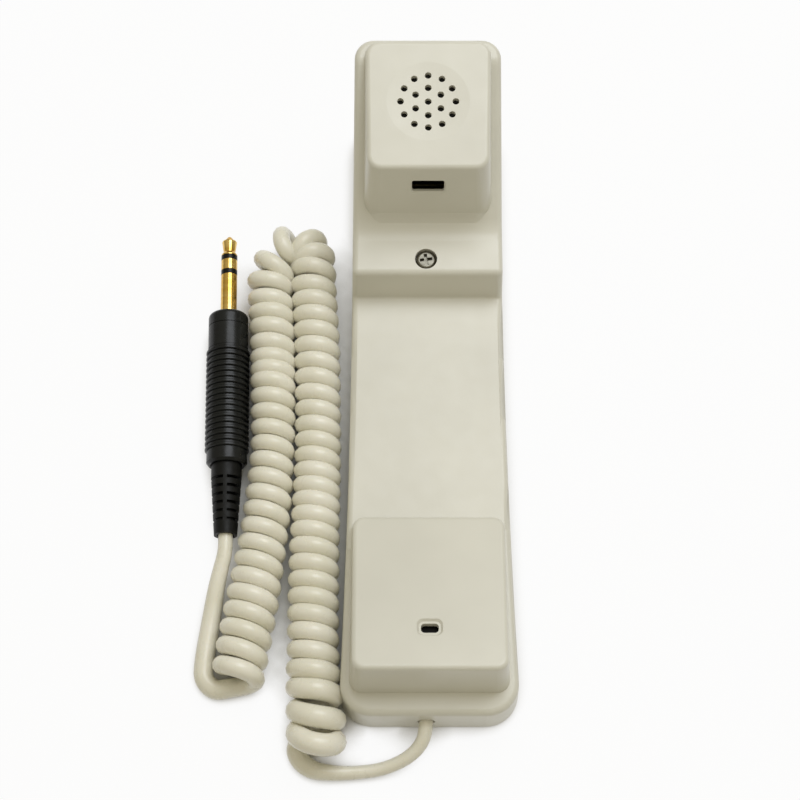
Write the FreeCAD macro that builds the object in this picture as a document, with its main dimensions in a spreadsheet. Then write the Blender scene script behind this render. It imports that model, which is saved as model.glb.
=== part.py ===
import FreeCAD, Part
import math
import os
from FreeCAD import Placement, Rotation, Vector
import Sketcher

# A telephone handset lying on its back, with its curly cord and three-contact plug.
# Lengths are in millimetres. +Z is up, +Y points to the ear end, and the origin is
# the middle of the handset's footprint on the table.

doc = FreeCAD.newDocument("Handset")
sheet = doc.addObject("Spreadsheet::Sheet", "Sizes")


# A length that remembers the sheet formula it came from, so that it can be bound.
class Size(float):
    def __new__(cls, value, formula):
        self = float.__new__(cls, value)
        self.formula = formula
        return self

    def __add__(self, other):
        return Size(float(self) + float(other), "(%s + %s)" % (formulaOf(self), formulaOf(other)))

    def __radd__(self, other):
        return Size(float(self) + float(other), "(%s + %s)" % (formulaOf(other), formulaOf(self)))

    def __sub__(self, other):
        return Size(float(self) - float(other), "(%s - %s)" % (formulaOf(self), formulaOf(other)))

    def __rsub__(self, other):
        return Size(float(other) - float(self), "(%s - %s)" % (formulaOf(other), formulaOf(self)))

    def __mul__(self, other):
        return Size(float(self) * float(other), "(%s * %s)" % (formulaOf(self), formulaOf(other)))

    __rmul__ = __mul__

    def __truediv__(self, other):
        return Size(float(self) / float(other), "(%s / %s)" % (formulaOf(self), formulaOf(other)))

    def __neg__(self):
        return Size(-float(self), "(0 - %s)" % formulaOf(self))


def formulaOf(value):
    return value.formula if isinstance(value, Size) else "%.9g" % float(value)


aliases = []


# Write one size on its own line of the sheet.
def put(name, value):
    aliases.append(name)
    line = len(aliases)
    sheet.set("A%d" % line, name.replace("_", " "))
    sheet.set("B%d" % line, "%.9g" % value)
    sheet.setAlias("B%d" % line, name)
    return Size(value, "Sizes." + name)


# Case outline
case_length = 206.0             # length of the case
ear_half_width = 24.3           # half width of the case over the ear half, at the table
mouth_half_width = 27.2         # half width of the case at the mouth end, at the table
flare_start = 33.0              # where the sides begin to flare towards the mouth end
ear_corner = 7.5                # plan radius of the ear end corners
mouth_corner = 10.0             # plan radius of the mouth end corners
side_draft = 0.026              # inward lean of the sides per mm of height
wall = 2.2                      # thickness of the case walls
edge_round = 1.8                # rounding along the top edges of the case

# Side profile of the front cover
grip_height = 15.5              # height of the grip
land_height = 27.5              # height of the screw land
step_foot = 32.3                # foot of the step between grip and land
step_head = 35.2                # top of the step
step_round = 2.0                # rounding of the top of the step
rise_start = 50.0               # where the rim starts to climb
rise_end = 94.0                 # where the rim stops climbing
rim_height = 57.3               # height of the rim at the end of its climb
rim_tilt = 0.16                 # slope of the rim's last stretch

# Ear box
face_front = 57.9               # front edge of the ear face
face_height = 54.0              # height of the ear face at its front edge
face_rear = 98.8                # rear edge of the ear face
face_slope = 0.16               # rise of the ear face per mm
box_width_front = 37.6          # width of the ear box at the front edge of its face
box_width_rear = 39.2           # width of the ear box at the rear edge of its face
box_lean = 0.172                # lean of the ear box's front wall
box_draft = 0.058               # lean of the ear box's side walls
box_corner = 4.5                # radius of the ear box's upright corners
box_round = 1.5                 # rounding round the ear face
skirt_front = 49.4              # front line of the skirt below the ear box
skirt_half_width = 20.5         # half width of the skirt
skirt_lip = 0.4                 # height of the skirt's lip above the land
skirt_height = 8.5              # height of the skirt above the land

# Sound holes
sound_centre = 79.4             # centre of the sound holes along the case
sound_hole = 2.1                # diameter of a sound hole
sound_ring_inner = 4.5          # radius of the ring of six holes
sound_ring_outer = 8.55         # radius of the ring of twelve holes
dish_width = 25.8               # diameter of the dished recess
dish_depth = 0.4                # depth of the dished recess

# Hanging slot
slot_width = 10.0               # width of the hanging slot
slot_height = 5.2               # height of the hanging slot
slot_level = 44.8               # height of the middle of the slot
slot_bevel = 0.5                # bevel round the slot

# Mouth box
mouth_front = -96.0             # foot of the mouth box's front wall
mouth_rear = -42.2              # foot of the mouth box's rear wall
mouth_top = 31.5                # height of the mouth face at its front edge
mouth_slope = 0.262             # fall of the mouth face per mm towards the ear
mouth_lean = 0.187              # lean of the mouth box's front wall
mouth_width_front = 47.3        # width of the mouth box at the foot of its front wall
mouth_width_rear = 46.4         # width of the mouth box at the foot of its rear wall
mouth_plan_corner = 3.7         # radius of the mouth box's upright corners
mouth_round = 1.4               # rounding round the mouth face
voice_place = -79.6             # place of the voice hole along the case
voice_width = 5.2               # width of the voice hole
voice_length = 3.1              # length of the voice hole
voice_recess = 1.25             # width of the recess round the voice hole
voice_sink = 0.7                # depth of the recess round the voice hole

# Rear cover
base_thick = 1.8                # thickness of the rear cover's plate
base_inset = 0.4                # how far the rear cover stands in from the front cover's edge
base_round = 0.8                # rounding of the rear cover's lower edge
lip_height = 3.0                # height of the rear cover's lip inside the front cover
lip_thick = 1.4                 # thickness of that lip
lip_gap = 0.15                  # gap between that lip and the front cover

# Cover screw
screw_x = -0.5                  # place of the cover screw across the case
screw_y = 40.2                  # place of the cover screw along the case
screw_head = 6.4                # diameter of the cover screw's head
screw_head_height = 2.2         # height of the cover screw's head
screw_shank = 3.5               # diameter of the cover screw's shank
screw_bore_gap = 0.3            # gap round the head in its counterbore
screw_sink = 0.5                # how far the head lies below the land
pillar_width = 9.4              # diameter of the screw pillar
pillar_foot = 11.0              # height where the pillar meets the rear cover's boss
insert_width = 5.6              # diameter of the brass insert
insert_length = 6.5             # length of the brass insert

# Receiver capsule
capsule_radius = 12.5           # radius of the receiver capsule
gasket_thick = 1.0              # thickness of the receiver gasket
gasket_width = 2.0              # width of the gasket's ring
cloth_thick = 0.3               # thickness of the acoustic cloth
basket_height = 6.0             # height of the capsule's basket
basket_wall = 1.3               # wall of the basket
basket_front = 1.0              # front plate of the basket
diaphragm_thick = 0.35          # thickness of the diaphragm
magnet_radius = 4.2             # radius of the magnet
magnet_height = 3.0             # height of the magnet
yoke_thick = 1.4                # thickness of the yoke
coil_radius = 5.6               # outer radius of the voice coil
coil_thick = 0.7                # thickness of the voice coil
coil_height = 2.4               # height of the voice coil
terminal_thick = 1.2            # thickness of the capsule's terminal board
bracket_thick = 0.8             # thickness of the receiver bracket
bracket_width = 8.0             # width of the receiver bracket
post_radius = 2.2               # radius of the bracket posts
post_spread = 15.0              # distance of the bracket posts from the capsule's middle

# Hook plate behind the slot
slot_wall = 1.3                 # thickness the wall is thinned to round the slot
hook_width = 26.0               # width of the hook plate
hook_height = 8.0               # height of the hook plate
hook_thick = 0.8                # thickness of the hook plate
hook_back = 1.4                 # gap between the wall and the hook plate
hook_drop = 6.0                 # how far the plate's upper edge lies below the middle of the slot

# Microphone
boot_radius = 6.6               # radius of the microphone's rubber boot
boot_height = 8.0               # height of the boot
boot_front = 1.2                # front of the boot
mic_radius = 4.85               # radius of the microphone capsule
mic_height = 6.5                # height of the microphone capsule
boot_ring_wall = 1.4            # wall of the ring that holds the boot
boot_ring_height = 5.0          # height of the ring that holds the boot

# Circuit board and what is on it
board_width = 30.0              # width of the circuit board
board_length = 46.0             # length of the circuit board
board_thick = 1.6               # thickness of the circuit board
board_middle = -8.0             # middle of the board along the case
board_level = 5.0               # height of the board's underside
board_post = 2.4                # radius of the board's posts
board_hole_inset = 3.5          # distance of the board's holes from its edges
block_width = 20.0              # width of the terminal block
block_depth = 7.0               # depth of the terminal block
block_height = 5.6              # height of the terminal block
block_pitch = 5.0               # spacing of the terminals
capacitor_radius = 2.5          # radius of the coupling capacitors
capacitor_length = 9.0          # length of the coupling capacitors
resistor_radius = 1.1           # radius of the resistors
resistor_length = 6.0           # length of the resistors
conductor_radius = 0.5          # radius of the conductors

# Ballast
ballast_width = 26.0            # width of the ballast weight
ballast_length = 30.0           # length of the ballast weight
ballast_height = 9.0            # height of the ballast weight
ballast_middle = 76.0           # middle of the ballast weight along the case

# Cord
cord_width = 4.6                # diameter of the cord
cord_exit_x = -0.9              # place of the cord's hole across the case
cord_exit_z = 7.6               # height of the cord's hole
cord_hole_gap = 0.3             # gap round the cord in its hole
grommet_length = 9.0            # length of the cord's anchor inside the case
grommet_width = 10.0            # width of the cord's anchor
grommet_height = 8.4            # height of the cord's anchor

# Plug: lengths run along its axis, away from the shoulder of the collar
plug_x = -63.95                 # middle of the collar's front face across the case
plug_y = 30.1                   # middle of the collar's front face along the case
plug_z = 7.0                    # height of the plug's axis
plug_turn = 1.19                # turn of the plug's axis in degrees
shaft_radius = 2.615            # radius of the plug's shaft
sleeve_length = 14.05           # length of the sleeve contact
band_length = 1.76              # length of an insulating band
ring_length = 3.52              # length of the ring contact
tip_length = 7.05               # length of the tip contact
bulb_radius = 2.44              # radius of the tip where it is thickest
neck_radius = 1.95              # radius of the tip's neck
contact_wall = 0.7              # thickness of the shaft's outer contacts
stem_radius = 1.35              # radius of the ring contact's stem
stem_bore = 0.9                 # radius of the bore in that stem
film = 0.15                     # thickness of the insulating sleeve round the tip contact's rod
shank_length = 8.0              # length of the sleeve contact inside the collar
tail_step = 2.0                 # how much further back each inner contact ends
carrier_radius = 4.2            # radius of the carrier behind the collar
carrier_length = 3.0            # length of the carrier behind the collar
lug_width = 2.2                 # width of a solder lug
lug_thick = 0.5                 # thickness of a solder lug
lug_length = 9.0                # length of a solder lug
lug_place = 2.6                 # distance of the solder lugs from the plug's axis
collar_radius = 6.35            # radius of the collar
collar_length = 4.49            # length of the collar
collar_round = 1.6              # rounding of the collar's front edge
seam_gap = 0.2                  # gap at the seam between collar and barrel
thread_radius = 4.5             # radius of the collar's threaded stub
thread_length = 7.0             # length of the threaded stub
thread_gap = 0.3                # gap between the stub and the barrel
barrel_radius = 6.35            # radius of the barrel's plain bands
barrel_length = 47.13           # length of the barrel
barrel_wall = 0.75              # thickness of the barrel
barrel_back = 2.4               # thickness of the barrel's rear wall
rib_count = 18                  # ribs round the barrel
rib_start = 7.73                # start of the ribs from the barrel's front
rib_pitch = 1.933               # spacing of the ribs
rib_height = 0.55               # height of a rib above the plain bands
groove_depth = 0.1              # depth of the grooves between the ribs
sleeve_start_radius = 4.75      # radius of the strain relief at the barrel
sleeve_end_radius = 3.6         # radius of the strain relief at its end
relief_length = 22.9            # length of the strain relief behind the barrel
relief_flange = 1.6             # thickness of the strain relief's flange inside the barrel
relief_gap = 0.35               # gap round the cord in the strain relief
relief_slots = 6                # slotted rows of the strain relief
slot_start = 4.5                # distance of the first slots behind the barrel
slot_pitch = 2.7                # spacing of the slots
slot_opening = 1.0              # width of a slot
spine_width = 1.2               # width of the spines between the slots
relief_core = 0.35              # thickness of the strain relief under its slots

# Every size above goes to the sheet under its own name.
for name, value in list(globals().items()):
    if isinstance(value, (int, float)):
        globals()[name] = put(name, value)

# The shaft is a little thinner inside the collar.
shank_radius = put("shank_radius", shaft_radius - 0.3)

doc.recompute()


# Put a value or a formula in a property.
def bind(thing, prop, value):
    if isinstance(value, Size):
        thing.setExpression(prop, value.formula)
    elif prop.startswith("Placement.Base."):
        base = thing.Placement.Base
        setattr(base, prop[-1], float(value))
        thing.Placement = Placement(base, thing.Placement.Rotation)
    else:
        setattr(thing, prop, float(value))


def moveTo(thing, x, y, z):
    bind(thing, "Placement.Base.x", x)
    bind(thing, "Placement.Base.y", y)
    bind(thing, "Placement.Base.z", z)


finished = []


# Keep a document object as one finished piece of the handset.
def keep(thing, label):
    thing.Label = label
    finished.append((label, thing))
    return thing


def boxOf(name, length, width, height, x, y, z):
    thing = doc.addObject("Part::Box", name)
    bind(thing, "Length", length)
    bind(thing, "Width", width)
    bind(thing, "Height", height)
    moveTo(thing, x, y, z)
    return thing


def rodOf(name, radius, height, x, y, z, rotation=None):
    thing = doc.addObject("Part::Cylinder", name)
    if rotation:
        thing.Placement = Placement(Vector(0, 0, 0), rotation)
    bind(thing, "Radius", radius)
    bind(thing, "Height", height)
    moveTo(thing, x, y, z)
    return thing


def cutOf(name, base, tool):
    thing = doc.addObject("Part::Cut", name)
    thing.Base = base
    thing.Tool = tool
    return thing


def groupOf(name, pieces):
    thing = doc.addObject("Part::Compound", name)
    thing.Links = pieces
    return thing


def shapeOf(name, shape):
    thing = doc.addObject("Part::Feature", name)
    thing.Shape = shape
    return thing


def planeOf(body, role):
    return [feature for feature in body.Origin.OriginFeatures if feature.Role == role][0]


# Draw a closed outline of straight lines in a body, each corner held by the sheet.
def sketchOf(body, name, role, corners):
    sketch = body.newObject("Sketcher::SketchObject", name)
    sketch.AttachmentSupport = [(planeOf(body, role), "")]
    sketch.MapMode = "FlatFace"
    count = len(corners)
    points = [Vector(float(u), float(v), 0) for u, v in corners]
    for index in range(count):
        sketch.addGeometry(Part.LineSegment(points[index], points[(index + 1) % count]))
    for index in range(count):
        sketch.addConstraint(Sketcher.Constraint("Coincident", index, 2, (index + 1) % count, 1))
    for index, (u, v) in enumerate(corners):
        for kind, value, axis in (("DistanceX", u, -2), ("DistanceY", v, -1)):
            if abs(float(value)) < 1e-9:
                sketch.addConstraint(Sketcher.Constraint("PointOnObject", index, 1, axis))
                continue
            place = sketch.addConstraint(Sketcher.Constraint(kind, -1, 1, index, 1, float(value)))
            if isinstance(value, Size):
                sketch.setExpression("Constraints[%d]" % place, value.formula)
    return sketch


# Turn an outline of (radius, height) corners about the body's Z axis.
def turnedOf(name, corners, placement=None):
    body = doc.addObject("PartDesign::Body", name)
    sketch = sketchOf(body, name + "Outline", "XZ_Plane", corners)
    turn = body.newObject("PartDesign::Revolution", name + "Turn")
    turn.Profile = sketch
    turn.ReferenceAxis = (sketch, ["V_Axis"])
    turn.Angle = 360
    doc.recompute()
    if placement:
        body.Placement = placement
    return body


# Round the circles of a turned body that lie at the given (radius, height) places.
def roundRims(body, places, radius):
    shape = body.Tip.Shape
    names = []
    for index, edge in enumerate(shape.Edges):
        if not isinstance(edge.Curve, Part.Circle):
            continue
        centre = edge.Curve.Center
        for rim, height in places:
            if abs(edge.Curve.Radius - float(rim)) < 1e-4 and abs(centre.z - float(height)) < 1e-4:
                names.append("Edge%d" % (index + 1))
    feature = body.newObject("PartDesign::Fillet", body.Name + "Round")
    feature.Base = (body.Tip if body.Tip != feature else feature.BaseFeature, names)
    bind(feature, "Radius", radius)
    doc.recompute()


# Extrude an outline of (x, y) corners upwards from z.
def paddedOf(name, corners, height, z=0.0):
    body = doc.addObject("PartDesign::Body", name)
    sketch = sketchOf(body, name + "Outline", "XY_Plane", corners)
    pad = body.newObject("PartDesign::Pad", name + "Pad")
    pad.Profile = sketch
    bind(pad, "Length", height)
    doc.recompute()
    body.Placement = Placement(Vector(0, 0, float(z)), Rotation())
    return body


# A closed outline of straight sides whose corners are rounded.
def roundedWire(corners, z):
    count = len(corners)
    starts = []
    ends = []
    mids = []
    for index in range(count):
        x, y, radius = corners[index]
        here = Vector(x, y, 0)
        before = Vector(corners[index - 1][0], corners[index - 1][1], 0) - here
        after = Vector(corners[(index + 1) % count][0], corners[(index + 1) % count][1], 0) - here
        before.normalize()
        after.normalize()
        half = before.getAngle(after) / 2
        reach = radius / math.tan(half)
        middle = (before + after).normalize() * (radius / math.sin(half))
        centre = here + middle
        starts.append(here + before * reach)
        ends.append(here + after * reach)
        mids.append(centre - (before + after).normalize() * radius)
    up = Vector(0, 0, z)
    edges = []
    for index in range(count):
        edges.append(Part.Arc(starts[index] + up, mids[index] + up, ends[index] + up).toShape())
        follow = (index + 1) % count
        edges.append(Part.LineSegment(ends[index] + up, starts[follow] + up).toShape())
    return Part.Wire(edges)


# The plan outline of the case, drawn in by an inset, at a height.
def caseWire(inset, z):
    half = case_length / 2 - inset
    near = ear_half_width - inset
    reach = flare_start + case_length / 2
    flare = mouth_half_width - ear_half_width
    sweep = (flare * flare + reach * reach) / (2 * flare)
    big = sweep + inset
    big_x = ear_half_width + sweep
    foot = max(mouth_corner - inset, 0.5)
    head = max(ear_corner - inset, 0.5)
    corner_y = -half + foot
    corner_x = big_x - math.sqrt((big + foot) ** 2 - (flare_start - corner_y) ** 2)
    toward = Vector(corner_x - big_x, corner_y - flare_start, 0).normalize()
    touch = Vector(big_x, flare_start, 0) + toward * big
    angle = math.asin((flare_start - touch.y) / big) / 2
    middle = Vector(big_x - big * math.cos(angle), flare_start - big * math.sin(angle), 0)
    knee = Vector(near, flare_start, 0)
    top = Vector(near, half - head, 0)
    shoulder = Vector(near - head, half, 0)
    low = Vector(corner_x, -half, 0)
    bow = Vector(corner_x, corner_y, 0) + Vector(touch.x - corner_x, touch.y - corner_y, 0).add(
        Vector(0, -foot, 0)).normalize() * foot
    bend = Vector(near - head, half - head, 0) + Vector(1, 1, 0).normalize() * head
    flip = lambda p: Vector(-p.x, p.y, 0)
    lift = Vector(0, 0, z)
    arc = lambda a, b, c: Part.Arc(a + lift, b + lift, c + lift).toShape()
    line = lambda a, b: Part.LineSegment(a + lift, b + lift).toShape()
    edges = [
        line(flip(low), low),
        arc(low, bow, touch),
        arc(touch, middle, knee),
        line(knee, top),
        arc(top, bend, shoulder),
        line(shoulder, flip(shoulder)),
        arc(flip(shoulder), flip(bend), flip(top)),
        line(flip(top), flip(knee)),
        arc(flip(knee), flip(middle), flip(touch)),
        arc(flip(touch), flip(bow), flip(low)),
    ]
    return Part.Wire(edges)


# Join two outlines by straight walls.
def wallsBetween(low, high):
    return Part.makeLoft([low, high], True, True)


def caseBlock(inset, low, high):
    return wallsBetween(caseWire(inset + side_draft * low, float(low)),
                        caseWire(inset + side_draft * high, float(high)))


# Side outline of the case's top, from the mouth end to the ear end, as (y, z, radius).
def topLine(drop):
    far = case_length / 2 + 8
    rim_far = rim_height + rim_tilt * (far - rise_end)
    points = [(-far, grip_height), (step_foot, grip_height), (step_head, land_height),
              (rise_start, land_height), (rise_end, rim_height), (far, rim_far)]
    radii = [0, 1.0 + drop, max(step_round - drop, 0.4), 12.0 + drop, max(6.0 - drop, 0.5), 0]
    points = [(float(y), float(z)) for y, z in points]
    if drop == 0:
        return [(y, z, radii[i]) for i, (y, z) in enumerate(points)]
    lines = []
    for (y0, z0), (y1, z1) in zip(points, points[1:]):
        length = math.hypot(y1 - y0, z1 - z0)
        ny, nz = (z1 - z0) / length * drop, -(y1 - y0) / length * drop
        lines.append((y0 + ny, z0 + nz, y1 + ny, z1 + nz))
    shifted = [(lines[0][0], lines[0][1])]
    for (a, b, c, d), (e, f, g, h) in zip(lines, lines[1:]):
        turn = (c - a) * (h - f) - (d - b) * (g - e)
        along = ((e - a) * (h - f) - (f - b) * (g - e)) / turn
        shifted.append((a + (c - a) * along, b + (d - b) * along))
    shifted.append((lines[-1][2], lines[-1][3]))
    return [(y, z, radii[i]) for i, (y, z) in enumerate(shifted)]


# The space above the case's top line, as a solid that is cut away.
def aboveTop(drop):
    line = topLine(drop)
    high = 120.0
    half = 60.0
    corners = [Vector(-half, y, z) for y, z, radius in line]
    edges = []
    last = corners[0]
    for index in range(1, len(line) - 1):
        radius = line[index][2]
        here = corners[index]
        before = (corners[index - 1] - here).normalize()
        after = (corners[index + 1] - here).normalize()
        half_turn = before.getAngle(after) / 2
        reach = radius / math.tan(half_turn)
        middle = (before + after).normalize()
        centre = here + middle * (radius / math.sin(half_turn))
        start = here + before * reach
        end = here + after * reach
        edges.append(Part.LineSegment(last, start).toShape())
        edges.append(Part.Arc(start, centre - middle * radius, end).toShape())
        last = end
    edges.append(Part.LineSegment(last, corners[-1]).toShape())
    roof = [Vector(-half, line[-1][0], high), Vector(-half, line[0][0], high)]
    edges.append(Part.LineSegment(corners[-1], roof[0]).toShape())
    edges.append(Part.LineSegment(roof[0], roof[1]).toShape())
    edges.append(Part.LineSegment(roof[1], corners[0]).toShape())
    return Part.Face(Part.Wire(edges)).extrude(Vector(2 * half, 0, 0))


# A half space above a sloping plane through (y, z).
def aboveSlope(y, z, slope):
    tilt = math.degrees(math.atan(slope))
    slab = Part.makeBox(200, 400, 200, Vector(-100, -200, 0))
    slab.Placement = Placement(Vector(0, float(y), float(z)), Rotation(Vector(1, 0, 0), tilt))
    return slab


def earBox(inset):
    low = 24.0
    high = 66.0

    def section(z):
        up = z - face_height
        front = face_front + box_lean * up + inset
        rear = face_rear + 0.9 - 0.03 * (z - face_height) - inset
        near = box_width_front / 2 - box_draft * up - inset
        far = box_width_rear / 2 - box_draft * (z - face_height - face_slope * (face_rear - face_front)) - inset
        corner = max(box_corner - inset, 1.0)
        return roundedWire([(-near, front, corner), (near, front, corner), (far, rear, corner),
                            (-far, rear, corner)], z)

    block = wallsBetween(section(low), section(high))
    return block.cut(aboveSlope(face_front, face_height - inset * math.hypot(1, face_slope), face_slope))


def mouthBox(inset):
    low = 8.0
    high = 42.0

    def section(z):
        up = z - grip_height
        front = mouth_front + mouth_lean * up + inset
        rear = mouth_rear - 0.05 * up - inset
        near = mouth_width_front / 2 - box_draft * up - inset
        far = mouth_width_rear / 2 - box_draft * up - inset
        corner = max(mouth_plan_corner - inset, 1.0)
        return roundedWire([(-near, front, corner), (near, front, corner), (far, rear, corner),
                            (-far, rear, corner)], z)

    block = wallsBetween(section(low), section(high))
    edge = mouth_front + mouth_lean * (mouth_top - grip_height)
    return block.cut(aboveSlope(edge, mouth_top - inset * math.hypot(1, mouth_slope), -mouth_slope))


# The curved skirt that runs up from the land into the ear box's front wall.
def skirt():
    foot = float(land_height + skirt_lip)
    rise = float(skirt_height - skirt_lip)
    wall_y = float(face_front + box_lean * (land_height + skirt_height - face_height)) + 0.4
    run = wall_y - float(skirt_front)
    steps = 5
    wires = []
    for index in range(steps):
        share = index / (steps - 1)
        turn = math.radians(78 * share)
        y = float(skirt_front) + run * math.sin(turn) / math.sin(math.radians(78))
        z = foot + rise * (1 - math.cos(turn)) / (1 - math.cos(math.radians(78)))
        half = float(skirt_half_width) - 0.5 * math.sin(turn)
        corner = 6.5 - 2.0 * math.sin(turn)
        wires.append(roundedWire([(-half, y, corner), (half, y, corner), (half, 74.0, 2.0),
                                  (-half, 74.0, 2.0)], z))
    sweep = Part.makeLoft(wires, True, False)
    lip = Part.Face(wires[0]).extrude(Vector(0, 0, -float(skirt_lip) - 2.0))
    return sweep.fuse(lip)


# Edges of a solid that lie on its top line or on a sloping face.
def roundTop(solid, radius, on_top):
    edges = [edge for edge in solid.Edges if on_top(edge)]
    return solid.makeFillet(float(radius), edges)


def onSlope(y, z, slope):
    def test(edge):
        return all(abs(v.Z - (float(z) + slope * (v.Y - float(y)))) < 1e-3 for v in edge.Vertexes)
    return test


# The front cover's outer form.
bare = caseBlock(0.0, base_thick, 64.0).cut(aboveTop(0.0))
floor_z = float(base_thick)


def caseTopEdge(edge):
    low = min(v.Z for v in edge.Vertexes)
    if low < floor_z + 1:
        return False
    faces = bare.ancestorsOfType(edge, Part.Face)
    upright = [face for face in faces if abs(face.normalAt(*middleOf(face)).z) < 0.1]
    return len(upright) == 1


def middleOf(face):
    a, b, c, d = face.ParameterRange
    return (a + b) / 2, (c + d) / 2


top_edges = [edge for edge in bare.Edges if caseTopEdge(edge)]
body_block = bare.makeFillet(float(edge_round), top_edges)

ear_outer = earBox(0.0)
ear_outer = roundTop(ear_outer, box_round, onSlope(face_front, face_height, float(face_slope)))
mouth_outer = mouthBox(0.0)
mouth_edge = mouth_front + mouth_lean * (mouth_top - grip_height)
mouth_outer = roundTop(mouth_outer, mouth_round, onSlope(mouth_edge, mouth_top, -float(mouth_slope)))
outer = body_block.fuse([ear_outer, skirt(), mouth_outer]).removeSplitter()

# The hollow inside it.
hollow = caseBlock(float(wall), 0.0, 64.0).cut(aboveTop(float(wall)))
hollow = hollow.fuse([earBox(float(wall)), mouthBox(float(wall))])
cover = outer.cut(hollow)

ear_tilt = math.degrees(math.atan(float(face_slope)))
sound_z = float(face_height + face_slope * (sound_centre - face_front))
ear_frame = Placement(Vector(0, float(sound_centre), sound_z), Rotation(Vector(1, 0, 0), ear_tilt))


# A solid in the ear face's own frame, whose z is zero on the face.
def inEar(solid):
    solid.Placement = ear_frame.multiply(solid.Placement)
    return solid


mouth_tilt = -math.degrees(math.atan(float(mouth_slope)))
voice_z = float(mouth_top - mouth_slope * (voice_place - mouth_edge))
mouth_frame = Placement(Vector(0, float(voice_place), voice_z), Rotation(Vector(1, 0, 0), mouth_tilt))


def inMouth(solid):
    solid.Placement = mouth_frame.multiply(solid.Placement)
    return solid


# Bracket posts, boot ring, screw pillar and hook plate ribs inside the cover.
capsule_depth = wall + gasket_thick + basket_height + terminal_thick
added = []
for side in (-1, 1):
    post = Part.makeCylinder(float(post_radius), float(capsule_depth) - 0.5,
                             Vector(0, side * float(post_spread), -float(capsule_depth)))
    added.append(inEar(post))
ring = Part.makeCylinder(float(boot_radius + boot_ring_wall), float(boot_ring_height) + 0.8,
                         Vector(0, 0, -float(wall + boot_ring_height)))
ring = ring.cut(Part.makeCylinder(float(boot_radius), 40, Vector(0, 0, -40 - float(wall))))
added.append(inMouth(ring))
pillar = Part.makeCylinder(float(pillar_width) / 2, float(land_height - pillar_foot) - 0.6,
                           Vector(float(screw_x), float(screw_y), float(pillar_foot)))
added.append(pillar)

slot_y = face_front + box_lean * (slot_level - face_height)
hook_y = slot_y + wall + hook_back
hook_top = slot_level - hook_drop
hook_z = hook_top - hook_height / 2
for side in (-1, 1):
    rib_x = side * float(hook_width) / 2
    reach = float(hook_thick) + float(hook_back) + 2.4
    rib = Part.makeBox(2.2, reach + 3.5, float(hook_height) + 3.0,
                       Vector(rib_x - 1.1, float(slot_y + wall) - 3.5, float(hook_top - hook_height) - 1.5))
    notch = Part.makeBox(4.4, float(hook_thick), float(hook_height) + 1.5,
                         Vector(rib_x - 2.2, float(hook_y), float(hook_top - hook_height) - 1.5))
    notch = notch.common(Part.makeBox(float(hook_width), 60, 60, Vector(-float(hook_width) / 2, 30, 20)))
    added.append(rib.cut(notch))
for x in (-14.0, 14.0):
    web = Part.makeBox(1.4, 34.0, 6.0, Vector(x - 0.7, -25.0, float(grip_height - wall) - 5.0))
    added.append(web.common(Part.makeBox(200, 200, 6.4, Vector(-100, -100, float(grip_height) - 8.4))))
cover = cover.fuse(added).common(outer).removeSplitter()

# Sound holes and their dish.
dish_ball = (float(dish_width) ** 2 / 4 + float(dish_depth) ** 2) / (2 * float(dish_depth))
cuts = [inEar(Part.makeSphere(dish_ball, Vector(0, 0, dish_ball - float(dish_depth))))]
for radius, count in ((0.0, 1), (float(sound_ring_inner), 6), (float(sound_ring_outer), 12)):
    for index in range(count):
        angle = math.pi / 2 + 2 * math.pi * index / count
        hole = Part.makeCylinder(float(sound_hole) / 2, 8,
                                 Vector(radius * math.cos(angle), radius * math.sin(angle), -5))
        cuts.append(inEar(hole))


# A block with rounded upright edges, centred on x and y.
def pill(width, length, radius, low, high):
    corners = [(-width / 2, -length / 2, radius), (width / 2, -length / 2, radius),
               (width / 2, length / 2, radius), (-width / 2, length / 2, radius)]
    return Part.Face(roundedWire(corners, low)).extrude(Vector(0, 0, high - low))


def taperedPill(width, length, radius, low, grow, high):
    small = roundedWire([(-width / 2, -length / 2, radius), (width / 2, -length / 2, radius),
                         (width / 2, length / 2, radius), (-width / 2, length / 2, radius)], low)
    w = width + 2 * grow
    n = length + 2 * grow
    r = radius + grow * 0.6
    large = roundedWire([(-w / 2, -n / 2, r), (w / 2, -n / 2, r), (w / 2, n / 2, r), (-w / 2, n / 2, r)], high)
    return wallsBetween(small, large)


# Voice hole with its bevelled recess.
voice = pill(float(voice_width), float(voice_length), 1.1, -8.0, 2.0)
cuts.append(inMouth(voice))
cuts.append(inMouth(taperedPill(float(voice_width) + 1.2, float(voice_length) + 1.4, 1.5,
                                -float(voice_sink), float(voice_recess) - 0.6, 0.05)))

# Hanging slot through the front wall of the ear box, bevelled outside.
lean_turn = math.degrees(math.atan(float(box_lean)))
slot_frame = Placement(Vector(0, float(slot_y), float(slot_level)), Rotation(Vector(1, 0, 0), 90 - lean_turn))
slot_cut = pill(float(slot_width), float(slot_height), 0.9, -6.0, 3.0)
slot_cut.Placement = slot_frame
cuts.append(slot_cut)
thinned = pill(float(slot_width) + 4.0, float(slot_height) + 3.0, 1.4, -float(wall) - 1.5, -float(slot_wall))
thinned.Placement = slot_frame
cuts.append(thinned)
bevel = taperedPill(float(slot_width), float(slot_height), 0.9, -float(slot_bevel), float(slot_bevel), 0.02)
bevel.Placement = slot_frame
cuts.append(bevel)

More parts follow.
